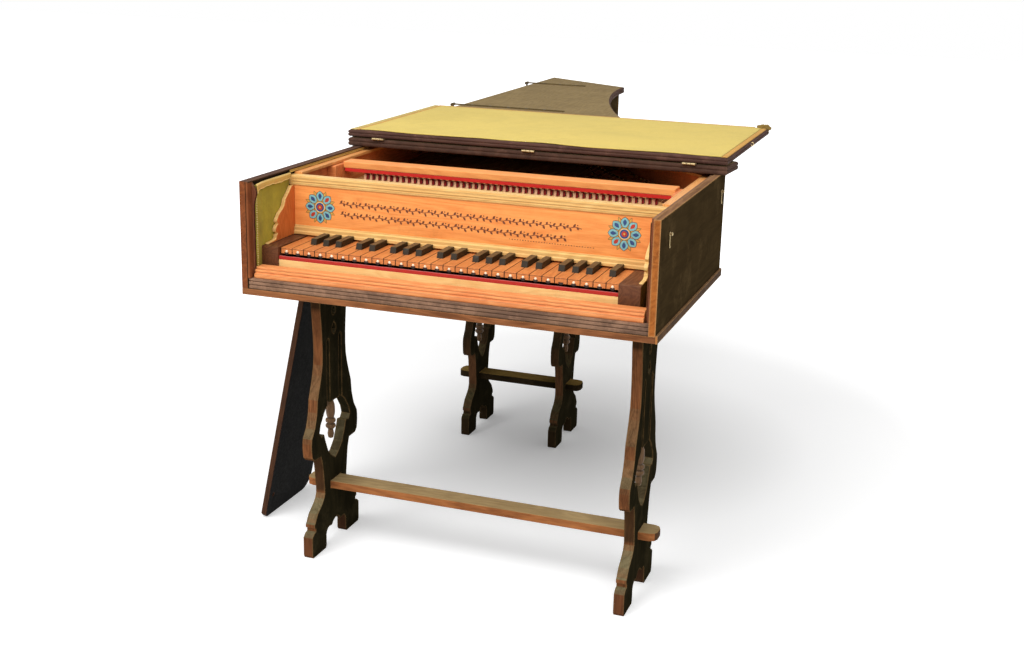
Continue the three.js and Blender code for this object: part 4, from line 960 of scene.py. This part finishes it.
def wellClothX(y):
    share = min(1.0, max(0.0, (y - wellCloth["front"]) / (wellCloth["bendTo"] - wellCloth["front"])))
    return wellCloth["frontX"] + (wellCloth["bassX"] - wellCloth["frontX"]) * share * share * (3 - 2 * share)


def wellClothPlace(u, v, front, seed):
    y = front + (wellCloth["back"] - front) * u
    z = wellCloth["low"] + (wellCloth["high"] - wellCloth["low"]) * v
    return y, z, noise.noise(Vector((y / 26, z / 60, seed)))


def bassClothPlace(u, v):
    y, z, ripple = wellClothPlace(u, v, wellCloth["front"], 1.7)
    return (wellClothX(y) + ripple * (0.5 if y < 48 and z > 634 else 0.18), y, z), (1, 0, 0)


def trebleClothPlace(u, v):
    y, z, ripple = wellClothPlace(u, v, wellCloth["trebleFront"], 5.2)
    return (wellCloth["trebleX"] + ripple * 0.2, y, z), (-1, 0, 0)


# A puffed strip along the top of the bass cloth, with a cord along each edge: (middle, half width)
valance = {
    "low": 738.6, "high": 751.4, "thick": 1.1, "frontPast": 0.6, "backShort": 0.2, "gather": 3.7, "out": 2.0,
    "puff": 2.3, "cord": 0.9, "cords": ((0.08, 0.07), (0.86, 0.08)), "cordBelow": 0.17, "cordAbove": 0.76,
    "frontSag": 6.0, "frontFlare": 2.6,
}


def valanceLow(y):
    wave = 0.9 * math.sin(y / 11) + 0.5 * math.sin(y / valance["gather"] + 1)
    return valance["low"] + wave - valance["frontSag"] * math.exp(-(y - 24) / 5)


def valancePlace(u, v):
    start, stop = wellCloth["front"] - valance["frontPast"], wellCloth["back"] - valance["backShort"]
    y = start + (stop - start) * u
    low = valanceLow(y)
    z = low + (valance["high"] - low) * v
    cords = sum(valance["cord"] * math.exp(-((v - middle) / half) ** 2) for middle, half in valance["cords"])
    puff = valance["out"] + valance["puff"] * math.sin(math.pi * (0.12 + 0.76 * v)) + cords
    puff += 0.7 * math.sin(y / valance["gather"]) * (1 - v)
    flare = valance["frontFlare"] * math.exp(-(y - 24) / 4) * (1 - v)
    return (wellClothX(y) + puff + flare, y, z), (1, 0, 0)


def onValanceCord(x, y, z):
    low = valanceLow(y)
    share = (z - low) / (valance["high"] - low)
    return share < valance["cordBelow"] or share > valance["cordAbove"]


# Two rolled strips along the spine's top edge: the heights of each and how far it stands out
spineRolls = {
    "front": 164.2, "back": 1788, "thick": 1.5, "steps": 330, "bulge": 0.7, "ripple": 0.18, "wave": 0.25,
    "rows": ((750.8, 753.4, 16.4), (753.5, 756.2, 15.6)),
}


def makeSpineBraid():
    shape = bmesh.new()
    for low, high, out in spineRolls["rows"]:
        def place(u, v):
            y = spineRolls["front"] + (spineRolls["back"] - spineRolls["front"]) * v
            z = low + (high - low) * u + spineRolls["wave"] * math.sin(y / 9)
            bulge = spineRolls["bulge"] * math.sin(math.pi * u) + spineRolls["ripple"] * math.sin(y * 1.3)
            return (out + bulge, y, z), (1, 0, 0)

        addSheet(shape, 4, spineRolls["steps"], place, spineRolls["thick"])
    addPiece("spineBraid", shape, ["goldCloth"], "case_and_stand", smooth=True)


wellClothBass = addCloth("wellClothBass", 56, 60, bassClothPlace, wellCloth["thick"], ["olive"],
                         "case_and_stand", replaced="lining_cloth_bass")
wellClothTreble = addCloth("wellClothTreble", 50, 50, trebleClothPlace, wellCloth["thick"],
                           ["olive", "lining"], "case_and_stand",
                           replaced="lining_cloth_treble", second=lambda x, y, z: y < wellCloth["bareTo"])
wellValance = addCloth("wellValance", 90, 24, valancePlace, valance["thick"], ["goldCloth", "cordCloth"],
                       "case_and_stand", second=onValanceCord)
makeSpineBraid()

# The carved strip on the spine's front end, with the curl at its head. The edge is (height, how far
# right) and the rounding is (share of the depth, how far in)
liningStrip = {
    "left": 12.6, "front": 16.6, "back": 23.8, "low": 570, "high": 757,
    "edge": [(570, 19.8), (585, 20.1), (600, 19.4), (620, 20.0), (640, 19.2), (660, 20.1), (676, 19.0),
             (690, 20.3), (704, 19.4), (714, 20.2), (721, 21.4), (727, 23.4), (731, 24.9), (735, 25.6),
             (739, 24.9), (744, 22.6), (749, 19.6), (754, 16.2), (757, 14.0)],
    "rounding": ((0.0, 1.1), (0.12, 0.3), (0.3, 0.0), (0.7, 0.0), (0.88, 0.3), (1.0, 1.1)),
}


def makeLiningStrip():
    shape = bmesh.new()
    rings = []
    for share, inset in liningStrip["rounding"]:
        y = liningStrip["front"] + (liningStrip["back"] - liningStrip["front"]) * share
        ring = [at(liningStrip["left"], y, liningStrip[end]) for end in ("high", "low")]
        rings.append(ring + [at(x - inset, y, z) for z, x in liningStrip["edge"]])
    addRings(shape, rings)
    addPiece("liningStrip", shape, ["lining"], "case_and_stand", replaced="front_lining_bass")


makeLiningStrip()
print("well cloth, valance, braids and carved strip made")


# Repeats: one small piece on each point, with a little spread in size and turn
def randomValue(tree, low, high, seed):
    node = put(tree, "FunctionNodeRandomValue")
    for i, value in ((2, low), (3, high), (8, seed)):
        feed(tree, node.inputs[i], value)
    return node.outputs[1]


def endRepeat(tree, ins, outs, geometry):
    real = put(tree, "GeometryNodeRealizeInstances", Geometry=geometry)
    finished = put(tree, "GeometryNodeSetMaterial", Geometry=real.outputs[0], Material=ins["Finish"])
    feed(tree, outs["Geometry"], finished.outputs[0])
    return tree


def buildScatterTree():
    tree, ins, outs = newGroup("scatter", [
        ("Geometry", "NodeSocketGeometry", None), ("Piece", "NodeSocketObject", None),
        ("Finish", "NodeSocketMaterial", None), ("Seed", "NodeSocketInt", 7),
        ("Spread", floatSocket, 0.0), ("Turn", floatSocket, 0.0),
    ], [("Geometry", "NodeSocketGeometry")], "GeometryNodeTree")
    info = put(tree, "GeometryNodeObjectInfo", Object=ins["Piece"])
    smallest, largest = minus(tree, 1.0, ins["Spread"]), calc(tree, "ADD", 1.0, ins["Spread"])
    size = randomValue(tree, smallest, largest, ins["Seed"])
    turn = randomValue(tree, times(tree, ins["Turn"], -1.0), ins["Turn"], calc(tree, "ADD", ins["Seed"], 5.0))
    turned = put(tree, "ShaderNodeCombineXYZ", Z=turn)
    spread = put(tree, "GeometryNodeInstanceOnPoints", Points=ins["Geometry"],
                 Instance=info.outputs["Geometry"], Rotation=turned.outputs[0], Scale=size)
    return endRepeat(tree, ins, outs, spread.outputs[0])


def buildWireTree():
    tree, ins, outs = newGroup("wire", [
        ("Geometry", "NodeSocketGeometry", None), ("Radius", floatSocket, 0.0003),
        ("Sides", "NodeSocketInt", 6), ("Finish", "NodeSocketMaterial", None),
    ], [("Geometry", "NodeSocketGeometry")], "GeometryNodeTree")
    line = put(tree, "GeometryNodeMeshToCurve", Mesh=ins["Geometry"])
    ring = put(tree, "GeometryNodeCurvePrimitiveCircle", Resolution=ins["Sides"], Radius=ins["Radius"])
    tube = put(tree, "GeometryNodeCurveToMesh", Curve=line.outputs[0], Profile_Curve=ring.outputs[0],
               Fill_Caps=True)
    return endRepeat(tree, ins, outs, tube.outputs[0])


repeatTrees = {"scatter": buildScatterTree(), "wire": buildWireTree()}


# Runs a repeat on a host mesh and keeps the result as plain faces
def bake(name, hostMesh, treeName, values, body, replaced=None):
    host = bpy.data.objects.new(name, hostMesh)
    scene.collection.objects.link(host)
    tree = repeatTrees[treeName]
    modifier = host.modifiers.new("repeat", "NODES")
    modifier.node_group = tree
    for item in tree.interface.items_tree:
        if item.in_out == "INPUT" and item.name in values:
            modifier[item.identifier] = values[item.name]
    graph = bpy.context.evaluated_depsgraph_get()
    mesh = bpy.data.meshes.new_from_object(host.evaluated_get(graph))
    host.modifiers.clear()
    host.data = mesh
    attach(host, body)
    if replaced:
        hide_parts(replaced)
    return host


def scatter(name, shape, places, finish, body, spread=0.0, turn=0.0, seed=7, smooth=True):
    mesh = meshFrom(name + "Shape", shape, [finish], smooth)
    template = bpy.data.objects.new(name + "Shape", mesh)
    scene.collection.objects.link(template)
    points = bpy.data.meshes.new(name)
    points.from_pydata([at(*place) for place in places], [], [])
    values = {"Piece": template, "Finish": materials[finish], "Seed": seed, "Spread": spread, "Turn": turn}
    piece = bake(name, points, "scatter", values, body)
    bpy.data.objects.remove(template)
    return piece


def wires(name, paths, radius, finish, body, sides=6, replaced=None):
    verts, edges = [], []
    for path in paths:
        first = len(verts)
        verts += [at(*place) for place in path]
        edges += [(first + i, first + i + 1) for i in range(len(path) - 1)]
    lines = bpy.data.meshes.new(name)
    lines.from_pydata(verts, edges, [])
    values = {"Radius": radius * mm, "Sides": sides, "Finish": materials[finish]}
    bake(name, lines, "wire", values, body, replaced)


# A small turned shape for the repeats: rings of (height, radius) in millimetres
def turnedShape(profile, sides=10, lean="z"):
    shape = bmesh.new()
    rings = []
    for height, radius in profile:
        ring = []
        for u, v in circle(radius * mm, sides):
            spots = {"z": (u, v, height * mm), "y": (u, -height * mm, v), "x": (height * mm, u, v)}
            ring.append(Vector(spots[lean]))
        rings.append(ring)
    addRings(shape, rings)
    return shape


# Beads on the front edge of the bass cloth
beads = {
    "low": 599.0, "high": 741.0, "pitch": 4.3, "x": 21.4, "y": 25.2, "spread": 0.12, "turn": 0.5,
    "profile": [(-1.5, 0.2), (-1.2, 0.9), (-0.4, 1.4), (0.4, 1.4), (1.2, 0.9), (1.5, 0.2)],
}
beadCount = int((beads["high"] - beads["low"]) / beads["pitch"])
beadPlaces = [(beads["x"], beads["y"], beads["low"] + beads["pitch"] * i) for i in range(beadCount)]
clothBeads = scatter("clothBeads", turnedShape(beads["profile"]), beadPlaces, "paleBraid", "case_and_stand",
                     spread=beads["spread"], turn=beads["turn"])

# A pearl on each natural's front over a half-moon of painted shade for the recess under it, but for one that
# has lost its pearl
keyFronts = {
    "pearlZ": 621.4, "pearlLost": 23, "pearlSpread": 0.08, "pearlSeed": 3, "pearlSides": 16,
    "pearl": [(-0.5, 2.5), (0.0, 2.5), (0.5, 2.3), (0.85, 1.7), (1.05, 0.9), (1.1, 0.3)],
    "moonZ": 619.6, "moonWide": 4.7, "moonHigh": 4.8, "moonDepths": (-0.3, 0.25), "moonSteps": 14,
}


def halfMoonShape():
    shape = bmesh.new()
    steps = keyFronts["moonSteps"]
    arc = [math.pi * (1.0 + i / steps) for i in range(steps + 1)]
    curve = [(keyFronts["moonWide"] * math.cos(a), keyFronts["moonHigh"] * math.sin(a)) for a in arc]
    addRings(shape, [[Vector((x * mm, -depth * mm, z * mm)) for x, z in curve]
                     for depth in keyFronts["moonDepths"]])
    return shape


keyCentres = [keyboard["left"] + keyboard["pitch"] * (i + 0.5) for i in range(keyboard["count"])]
pearlPlaces = [(x, keyboard["front"], keyFronts["pearlZ"]) for x in keyCentres]
del pearlPlaces[keyFronts["pearlLost"]]
scatter("keyPearls", turnedShape(keyFronts["pearl"], keyFronts["pearlSides"], "y"), pearlPlaces, "pearl",
        "naturals", spread=keyFronts["pearlSpread"], seed=keyFronts["pearlSeed"])
# Half-moons of painted shade: dark sheets where the recess under each pearl lies
scatter("keyHalfMoons", halfMoonShape(), [(x, keyboard["front"], keyFronts["moonZ"]) for x in keyCentres],
        "recessDark", "naturals", smooth=False)

# Jacks, strings and pins. Jacks are numbered from the bass; sharps follow the naturals in sharpAfter
strings = {
    "first": 85.0, "pitch": 13.16, "beside": 4.4, "radius": 0.28, "pinFront": 228.0, "pinRow": 26.0,
    "pinWind": 705.0, "pinAside": 2.6, "pinZ": 698.1, "nutY": 306.0, "top": 712.35, "hitchInset": 46.0,
    "hitchZ": 699.5, "hitchPinZ": 696.1, "bridgeInset": 117.0, "bridgeEnd": 62, "bridgePinAside": 0.6,
    "bridgePinZ": 711.8, "sharpAfter": (0, 1, 3, 4, 5), "octaveShift": 2,
    "tuningPin": [(0, 2.3), (14.5, 2.3), (16, 2.9), (21, 2.7), (22, 1.9)],
    "hitchPin": [(0, 0.9), (5.2, 0.9), (5.8, 0.5)], "bridgePin": [(0, 0.6), (2.2, 0.6), (2.6, 0.3)],
}
naturalJacks, sharpJacks = [], []
for i in range(keyboard["count"]):
    naturalJacks.append(len(naturalJacks) + len(sharpJacks))
    if (i + strings["octaveShift"]) % 7 in strings["sharpAfter"] and i < keyboard["count"] - 1:
        sharpJacks.append(len(naturalJacks) + len(sharpJacks))


def jackX(number):
    return strings["first"] + strings["pitch"] * number


def bridgeLine():
    level = tailLevel - strings["bridgeInset"] - strings["bridgeEnd"]
    line = [p for p in bentLine(strings["bridgeInset"]) if tailNormal.dot(p) < level]
    end = jackX(-1)
    return line + [Vector((end, tailAtX(end, strings["bridgeInset"])))]


def lineY(line, x):
    for a, b in zip(line, line[1:]):
        if b.x <= x <= a.x:
            return a.y + (b.y - a.y) * (a.x - x) / max(1e-6, a.x - b.x)
    return line[0].y if x > line[0].x else line[-1].y


soundLine = bridgeLine()
hitchLine = bentLine(strings["hitchInset"])
stringPaths, tuningPlaces, hitchPlaces, bridgePlaces = [], [], [], []
for n in range(len(naturalJacks) + len(sharpJacks)):
    x = jackX(n) + strings["beside"]
    pinY = strings["pinFront"] + strings["pinRow"] * (n % 2)
    bridgeY = lineY(soundLine, x)
    hitchY = min(lineY(hitchLine, x), tailAtX(x, strings["hitchInset"]))
    tuningPlaces.append((x - strings["pinAside"], pinY, strings["pinZ"]))
    hitchPlaces.append((x, hitchY, strings["hitchPinZ"]))
    for y in (bridgeY, strings["nutY"] + 2):
        bridgePlaces.append((x + strings["bridgePinAside"], y, strings["bridgePinZ"]))
    stringPaths.append([(x, pinY, strings["pinWind"]), (x, strings["nutY"], strings["top"]),
                        (x, bridgeY, strings["top"]), (x, hitchY + 1, strings["hitchZ"])])
wires("strings", stringPaths, strings["radius"], "brass", "case_and_stand", sides=5)
scatter("tuningPins", turnedShape(strings["tuningPin"], 8), tuningPlaces, "iron", "case_and_stand",
        spread=0.03, turn=0.8, smooth=False)
scatter("hitchPins", turnedShape(strings["hitchPin"], 7), hitchPlaces, "brass", "case_and_stand")
scatter("bridgePins", turnedShape(strings["bridgePin"], 6), bridgePlaces, "brass", "case_and_stand")

# Dampers: a felt on each jack. The rings are (height, how far in), and the sets have each its front
dampers = {
    "wide": 4.5, "deep": 8.0, "rings": ((0.0, 0.5), (0.7, 0.0), (9.2, 0.0), (10.4, 0.5)), "aside": 2.6,
    "z": 713.4, "spread": 0.03,
    "sets": (("naturalDampers", naturalJacks, "jacks_of_naturals", 355.5),
             ("sharpDampers", sharpJacks, "jacks_of_sharps", 356.0)),
}


def damperShape():
    shape = bmesh.new()
    rings = []
    for z, inset in dampers["rings"]:
        corners = rectangle(inset, dampers["wide"] - inset, inset, dampers["deep"] - inset)
        rings.append([Vector((x * mm, y * mm, z * mm)) for x, y in corners])
    addRings(shape, rings)
    return shape


for name, numbers, body, front in dampers["sets"]:
    places = [(jackX(n) + dampers["aside"], front, dampers["z"]) for n in numbers]
    scatter(name, damperShape(), places, "darkFelt", body, spread=dampers["spread"], smooth=False)
print("pearls, dampers, strings and pins made:", len(stringPaths))

# Strips of felt with a slightly uneven edge, each in its box
feltStrips = {
    "keyFelt": {"x": (49.7, 709.3), "y": (53.1, 58.3), "z": (606.7, 612.9), "wave": 0.35,
                "finish": "redFelt", "replaced": "key_slip_felt"},
    "railFeltFront": {"x": (44.2, 728.8), "y": (345.6, 348.8), "z": (728.2, 734.6), "wave": 0.5,
                      "finish": "railFelt", "replaced": None},
}


def makeFelt(name, felt):
    (x0, x1), (y0, y1), (z0, z1) = felt["x"], felt["y"], felt["z"]
    shape = bmesh.new()
    steps = int((x1 - x0) / 6)
    rings = []
    for i in range(steps + 1):
        x = x0 + (x1 - x0) * i / steps
        top = z1 + felt["wave"] * noise.noise(Vector((x / 19, 2.0, 5.0)))
        low = z0 + felt["wave"] * noise.noise(Vector((x / 23, 6.0, 1.0)))
        ring = ((y0, low), (y0, top - 0.5), (y0 + 0.6, top), (y1 - 0.6, top), (y1, top - 0.5), (y1, low))
        rings.append([at(x, y, z) for y, z in ring])
    addRings(shape, rings)
    addPiece(name, shape, [felt["finish"]], "case_and_stand", replaced=felt["replaced"])


for name, felt in feltStrips.items():
    makeFelt(name, felt)

# Jamb on the inside of the spine's front end: its ends are (share of the height, how far in)
jamb = {"left": 12.6, "right": 17.4, "front": 0.9, "back": 16.2, "low": 577.5, "high": 756.3,
        "ends": ((0.0, 0.8), (0.01, 0.0), (0.99, 0.0), (1.0, 0.8))}


def makeJamb():
    shape = bmesh.new()
    rings = []
    for share, inset in jamb["ends"]:
        z = jamb["low"] + (jamb["high"] - jamb["low"]) * share
        x0, x1, y0, y1 = jamb["left"], jamb["right"] - inset, jamb["front"] + inset, jamb["back"]
        ring = ((x0, y0 + 0.8), (x0 + 0.8, y0), (x1 - 1.4, y0), (x1 - 0.4, y0 + 0.4), (x1, y0 + 1.4),
                (x1, y1), (x0, y1))
        rings.append([at(x, y, z) for x, y in ring])
    addRings(shape, rings)
    addPiece("spineJamb", shape, ["jamb"], "case_and_stand")


# The dark fillet that widens the spine's top edge: its ends are (place along it, how far in)
ledge = {"left": 12.6, "right": 17.3, "low": 756.5, "high": 758.9, "arris": 0.7,
         "ends": ((0.9, 0.6), (1.6, 0.0), (1787.0, 0.0), (1788.0, 0.6))}


def makeSpineLedge():
    shape = bmesh.new()
    rings = []
    for y, inset in ledge["ends"]:
        x0, x1, z0, z1 = ledge["left"], ledge["right"] - inset, ledge["low"], ledge["high"] - inset
        ring = (x0, z0), (x1, z0), (x1, z1 - ledge["arris"]), (x1 - ledge["arris"], z1), (x0, z1)
        rings.append([at(x, y, z) for x, z in ring])
    addRings(shape, rings)
    addPiece("spineLedge", shape, ["spineSide"], "case_and_stand")


makeJamb()
makeSpineLedge()

# Hinges between lid and flap: knuckles on one axis, and on each board a leaf between two heights
flapHinges = {
    "centres": (58.0, 394.0, 728.0), "y": 473.2, "z": 777.15, "radius": 2.4, "sides": 20, "half": 13.5,
    "root": 8, "leafFrom": 7, "back": 491.0, "arris": 0.1,
    "lid": {"knuckles": ((-13.5, -4.8), (4.8, 13.5)), "leaf": (776.4, 777.0)},
    "flap": {"knuckles": ((-4.5, 4.5),), "leaf": (777.9, 778.9)},
}


def addKnuckle(shape, x0, x1):
    rings = []
    for x, share in ((x0, 0.8), (x0 + 0.4, 1.0), (x1 - 0.4, 1.0), (x1, 0.8)):
        turns = circle(flapHinges["radius"] * share, flapHinges["sides"])
        rings.append([at(x, flapHinges["y"] + u, flapHinges["z"] + v) for u, v in turns])
    addRings(shape, rings)


def addLeaf(shape, x0, x1, y0, y1, z0, z1):
    arris = flapHinges["arris"]
    rings = []
    for z, inset in ((z0, arris), (z0 + arris, 0), (z1 - arris, 0), (z1, arris)):
        corners = rectangle(x0 + inset, x1 - inset, y0 + inset, y1 - inset)
        rings.append([at(x, y, z) for x, y in corners])
    addRings(shape, rings)


for side in ("lid", "flap"):
    shape = bmesh.new()
    y, half, leaf = flapHinges["y"], flapHinges["half"], flapHinges[side]["leaf"]
    for centre in flapHinges["centres"]:
        for low, high in flapHinges[side]["knuckles"]:
            addKnuckle(shape, centre + low, centre + high)
            addLeaf(shape, centre + low, centre + high, y, y + flapHinges["root"], *leaf)
        addLeaf(shape, centre - half, centre + half, y + flapHinges["leafFrom"], flapHinges["back"], *leaf)
    addPiece(side + "HingeLeaves", shape, ["hookBrass"], side)

# Hooks of bent wire, the pins they hang on, and the eye in the flap's edge
hooks = {
    "x": 792.75, "z": 724.0, "front": 62.0, "rear": 496.0, "ring": 3.0, "wire": 0.95, "ringSteps": 18,
    "shank": [(0, 721.0), (0, 712.0), (0.1, 704.0), (0.6, 701.2), (2.0, 699.6), (3.8, 699.8), (4.9, 701.2),
              (5.1, 702.6)],
    "pinX": 791.2, "pin": [(0, 1.5), (3.6, 1.5), (3.8, 3.1), (5.6, 3.1), (6.4, 2.4), (6.8, 1.0)],
}
eye = {"x": 805.6, "y": 730.0, "z": 787.0, "wide": 3.0, "high": 3.6, "wire": 0.9,
       "stem": [(800.5, 730.0, 786.0), (803.0, 730.0, 786.6)]}
for label in ("front", "rear"):
    turns = circle(hooks["ring"], hooks["ringSteps"], 1)
    ring = [(hooks["x"], hooks[label] + v, hooks["z"] - u) for u, v in turns]
    shank = [(hooks["x"], hooks[label] + y, z) for y, z in hooks["shank"]]
    wires(label + "HookWire", [ring, shank], hooks["wire"], "hookBrass", label + "_hook", sides=10,
          replaced=label + "_hook")
scatter("hookPins", turnedShape(hooks["pin"], 16, "x"),
        [(hooks["pinX"], hooks[label], hooks["z"]) for label in ("front", "rear")],
        "hookBrass", "case_and_stand")
eyeRing = [(eye["x"] + eye["wide"] * u, eye["y"], eye["z"] + eye["high"] * v)
           for u, v in circle(1.0, hooks["ringSteps"], 1)]
wires("flapEye", [eyeRing, eye["stem"]], eye["wire"], "brass", "flap", sides=8)


# Where a ray meets a CAD piece, in millimetres, or None
def onNode(name, origin, direction):
    piece = nodes[name]
    back = piece.matrix_world.inverted()
    ray = (back.to_3x3() @ Vector(direction)).normalized()
    hit, spot = piece.ray_cast(back @ origin, ray)[:2]
    return measured(piece.matrix_world @ spot) if hit else None


# Nails in the hinge plates on the spine and in the straps on the lid. Each hinge has its place along the
# spine and how far its strap reaches
nails = {
    "profile": [(-0.6, 3.4), (0.0, 3.4), (0.45, 3.0), (0.8, 2.0), (1.0, 0.8)], "sides": 12, "spread": 0.08,
    "turn": 3.0, "hinges": ((540, 265), (1115, 265), (1690, 146)), "strapFrom": 22, "strapPitch": 48,
    "strapEnd": 6, "strapAside": 3, "plateZ": (700, 722, 744),
}
strapNails, plateNails = [], []
for number, (hingeY, reach) in enumerate(nails["hinges"], start=1):
    for x in range(nails["strapFrom"], reach - nails["strapEnd"], nails["strapPitch"]):
        above = at(x, hingeY + nails["strapAside"] * (-1) ** x, 800)
        spot = onNode(f"lid_hinge_strap_{number}", above, (0, 0, -1))
        if spot:
            strapNails.append(spot)
    for z in nails["plateZ"]:
        spot = onNode(f"lid_hinge_plate_{number}", at(-90, hingeY, z), (1, 0, 0))
        if spot:
            plateNails.append((spot[0], hingeY, z))
scatter("strapNails", turnedShape(nails["profile"], nails["sides"]), strapNails, "iron", "lid",
        spread=nails["spread"], turn=nails["turn"])
scatter("plateNails", turnedShape([(-h, r) for h, r in nails["profile"]], nails["sides"], "x"), plateNails,
        "iron", "case_and_stand", spread=nails["spread"])
print("hinges, hooks and nails made:", len(strapNails), len(plateNails))

# Turned spindles in the legs' openings, round where the solids have eight sides. The profile is (share of
# the leg's height, radius)
spindles = {
    "centres": ((98.0, 160.5), (736.0, 160.5), (127.0, 916.0), (353.0, 916.0)),
    "height": 546.0, "grow": 0.5, "sides": 28,
    "profile": [(0.405, 4.5), (0.412, 5.4), (0.42, 6.1), (0.428, 5.4), (0.437, 4.6), (0.441, 6.4),
                (0.446, 9.2), (0.451, 9.8), (0.456, 9.2), (0.459, 6.9), (0.461, 6.1), (0.463, 6.9),
                (0.466, 9.2), (0.471, 9.8), (0.477, 9.2), (0.48, 6.9), (0.482, 6.2), (0.487, 6.8),
                (0.496, 8.1), (0.507, 8.7), (0.52, 8.5), (0.532, 8.1), (0.542, 6.6), (0.551, 5.2),
                (0.562, 5.1)],
}


def makeSpindles():
    shape = bmesh.new()
    for x, y in spindles["centres"]:
        rings = []
        for share, radius in spindles["profile"]:
            turns = circle(radius + spindles["grow"], spindles["sides"])
            rings.append([at(x + u, y + v, share * spindles["height"]) for u, v in turns])
        addRings(shape, rings)
    addPiece("legSpindles", shape, ["turnedWood"], "case_and_stand", smooth=True)


makeSpindles()

# Painting on the nameboard, in thin layers of paint: a rosette at each end, (x, z, scale), and rows of
# running vine, (x from, x to, z at each end, size)
paint = {
    "face": 169.0, "layer": 0.11, "sink": 0.05,
    "finishes": ["inkBrown", "paintSky", "paintGold", "paintBlue", "paintRed", "paintWhite", "vineBrown"],
    "rosettes": ((77.5, 687.5, 0.99), (685.0, 692.5, 0.97)),
    "rows": ((119, 605, 698.0, 695.0, 5.0), (121, 576, 677.0, 672.5, 5.0)),
    "fineRow": (467, 638, 662.5, 661.0), "finePitch": 5.2, "fineHalf": 1.7, "fineTips": (0.7, 1.0),
}
# A rosette's parts. A leaf is (start, length, half width, steps, point), its layer and its finish, and a
# disc is (radius, layer, finish)
rosette = {
    "leaves": 8, "spear": (12, 21, 3.0), "spearRim": (-1, 2, 0.9), "redEvery": 4,
    "petals": (((8, 24.2, 8.6), (12, 1.3), 3, 0), ((9, 22.2, 7.6), (12, 1.3), 4, 1),
               ((15, 12.5, 3.6), (9, 1.2), 5, 3)),
    "discs": ((12.6, 6, 0), (11.8, 7, 2), (9.8, 8, 5), (8.8, 9, 3), (5.4, 10, 4), (2.0, 11, 2)),
}
# The vine's measures are shares of its size, but for the stem's step and half width in millimetres
vine = {
    "finish": 6, "step": 2.6, "half": 0.6, "swing": 0.26, "wave": 5.2, "pitch": 1.3,
    "reach": (1.5, 1.2, 1.35), "leafHalf": 0.4, "lean": 0.98, "leanVary": 0.16, "berry": 0.24,
    "berryAside": 0.35, "berryOut": 0.7,
}


def addPlate(shape, outline, level, finish):
    depths = paint["face"] + paint["sink"], paint["face"] - paint["layer"] * level
    addRings(shape, [[at(x, depth, z) for x, z in outline] for depth in depths], finish)


def leafOutline(cx, cz, angle, start, length, half, steps=9, point=1.0):
    sides = []
    for i in range(steps + 1):
        s = i / steps
        wide = half * math.sin(math.pi * s ** point) ** 0.8 if 0 < i < steps else 0.12
        sides.append((start + length * s, wide))
    ring = [(r, -w) for r, w in sides] + [(r, w) for r, w in reversed(sides)]
    c, s = math.cos(angle), math.sin(angle)
    return [(cx + r * c - w * s, cz + r * s + w * c) for r, w in ring]


def discOutline(cx, cz, radius, steps=28):
    return [(cx + u, cz + v) for u, v in circle(radius, steps)]


def addRosette(shape, cx, cz, scale):
    spear = [scale * value for value in rosette["spear"]]
    rim = [value + more for value, more in zip(spear, rosette["spearRim"])]
    for k in range(rosette["leaves"]):
        angle = 2 * math.pi * (k + 0.5) / rosette["leaves"]
        addPlate(shape, leafOutline(cx, cz, angle, *rim), 1, 0)
        addPlate(shape, leafOutline(cx, cz, angle, *spear), 2, 2)
    for k in range(rosette["leaves"]):
        angle = 2 * math.pi * k / rosette["leaves"]
        for sizes, form, level, finish in rosette["petals"]:
            outline = leafOutline(cx, cz, angle, *(value * scale for value in sizes), *form)
            red = level == 5 and k % rosette["redEvery"] == 1
            addPlate(shape, outline, level, 4 if red else finish)
    for radius, level, finish in rosette["discs"]:
        addPlate(shape, discOutline(cx, cz, radius * scale), level, finish)


def addVine(shape, x0, x1, z0, z1, size):
    def stem(x):
        swing = math.sin(2 * math.pi * (x - x0) / (vine["wave"] * size))
        return z0 + (z1 - z0) * (x - x0) / (x1 - x0) + vine["swing"] * size * swing

    steps = int((x1 - x0) / vine["step"])
    places = [x0 + (x1 - x0) * i / steps for i in range(steps + 1)]
    for near, far in zip(places, places[1:]):
        along = Vector((far - near, stem(far) - stem(near))).normalized() * vine["half"]
        outline = [(near + along.y, stem(near) - along.x), (far + along.y, stem(far) - along.x),
                   (far - along.y, stem(far) + along.x), (near - along.y, stem(near) + along.x)]
        addPlate(shape, outline, 1.5, vine["finish"])
    for k in range(int((x1 - x0) / (vine["pitch"] * size))):
        x = x0 + vine["pitch"] * size * (k + 0.3)
        up = 1 if k % 2 == 0 else -1
        angle = up * (vine["lean"] + vine["leanVary"] * math.sin(1.7 * k))
        reach = vine["reach"][k % 3] * size
        leaf = leafOutline(x, stem(x), angle, 0.2, reach, vine["leafHalf"] * size, 7)
        addPlate(shape, leaf, 2.5, vine["finish"])
        if k % 4 == 1:
            spot = x + vine["berryAside"] * size, stem(x) - up * vine["berryOut"] * size
            addPlate(shape, discOutline(*spot, vine["berry"] * size, 10), 2.5, vine["finish"])


def makePainting():
    shape = bmesh.new()
    for place in paint["rosettes"]:
        addRosette(shape, *place)
    for row in paint["rows"]:
        addVine(shape, *row)
    x0, x1, z0, z1 = paint["fineRow"]
    half = paint["fineHalf"]
    for k in range(int((x1 - x0) / paint["finePitch"])):
        x = x0 + paint["finePitch"] * k
        z = z0 + (z1 - z0) * (x - x0) / (x1 - x0)
        tip = paint["fineTips"][k % 2]
        addPlate(shape, [(x - half, z), (x, z - tip), (x + half, z), (x, z + tip)], 1.5, vine["finish"])
    addPiece("nameboardPainting", shape, paint["finishes"], "case_and_stand")


makePainting()
print("spindles and nameboard painting made")
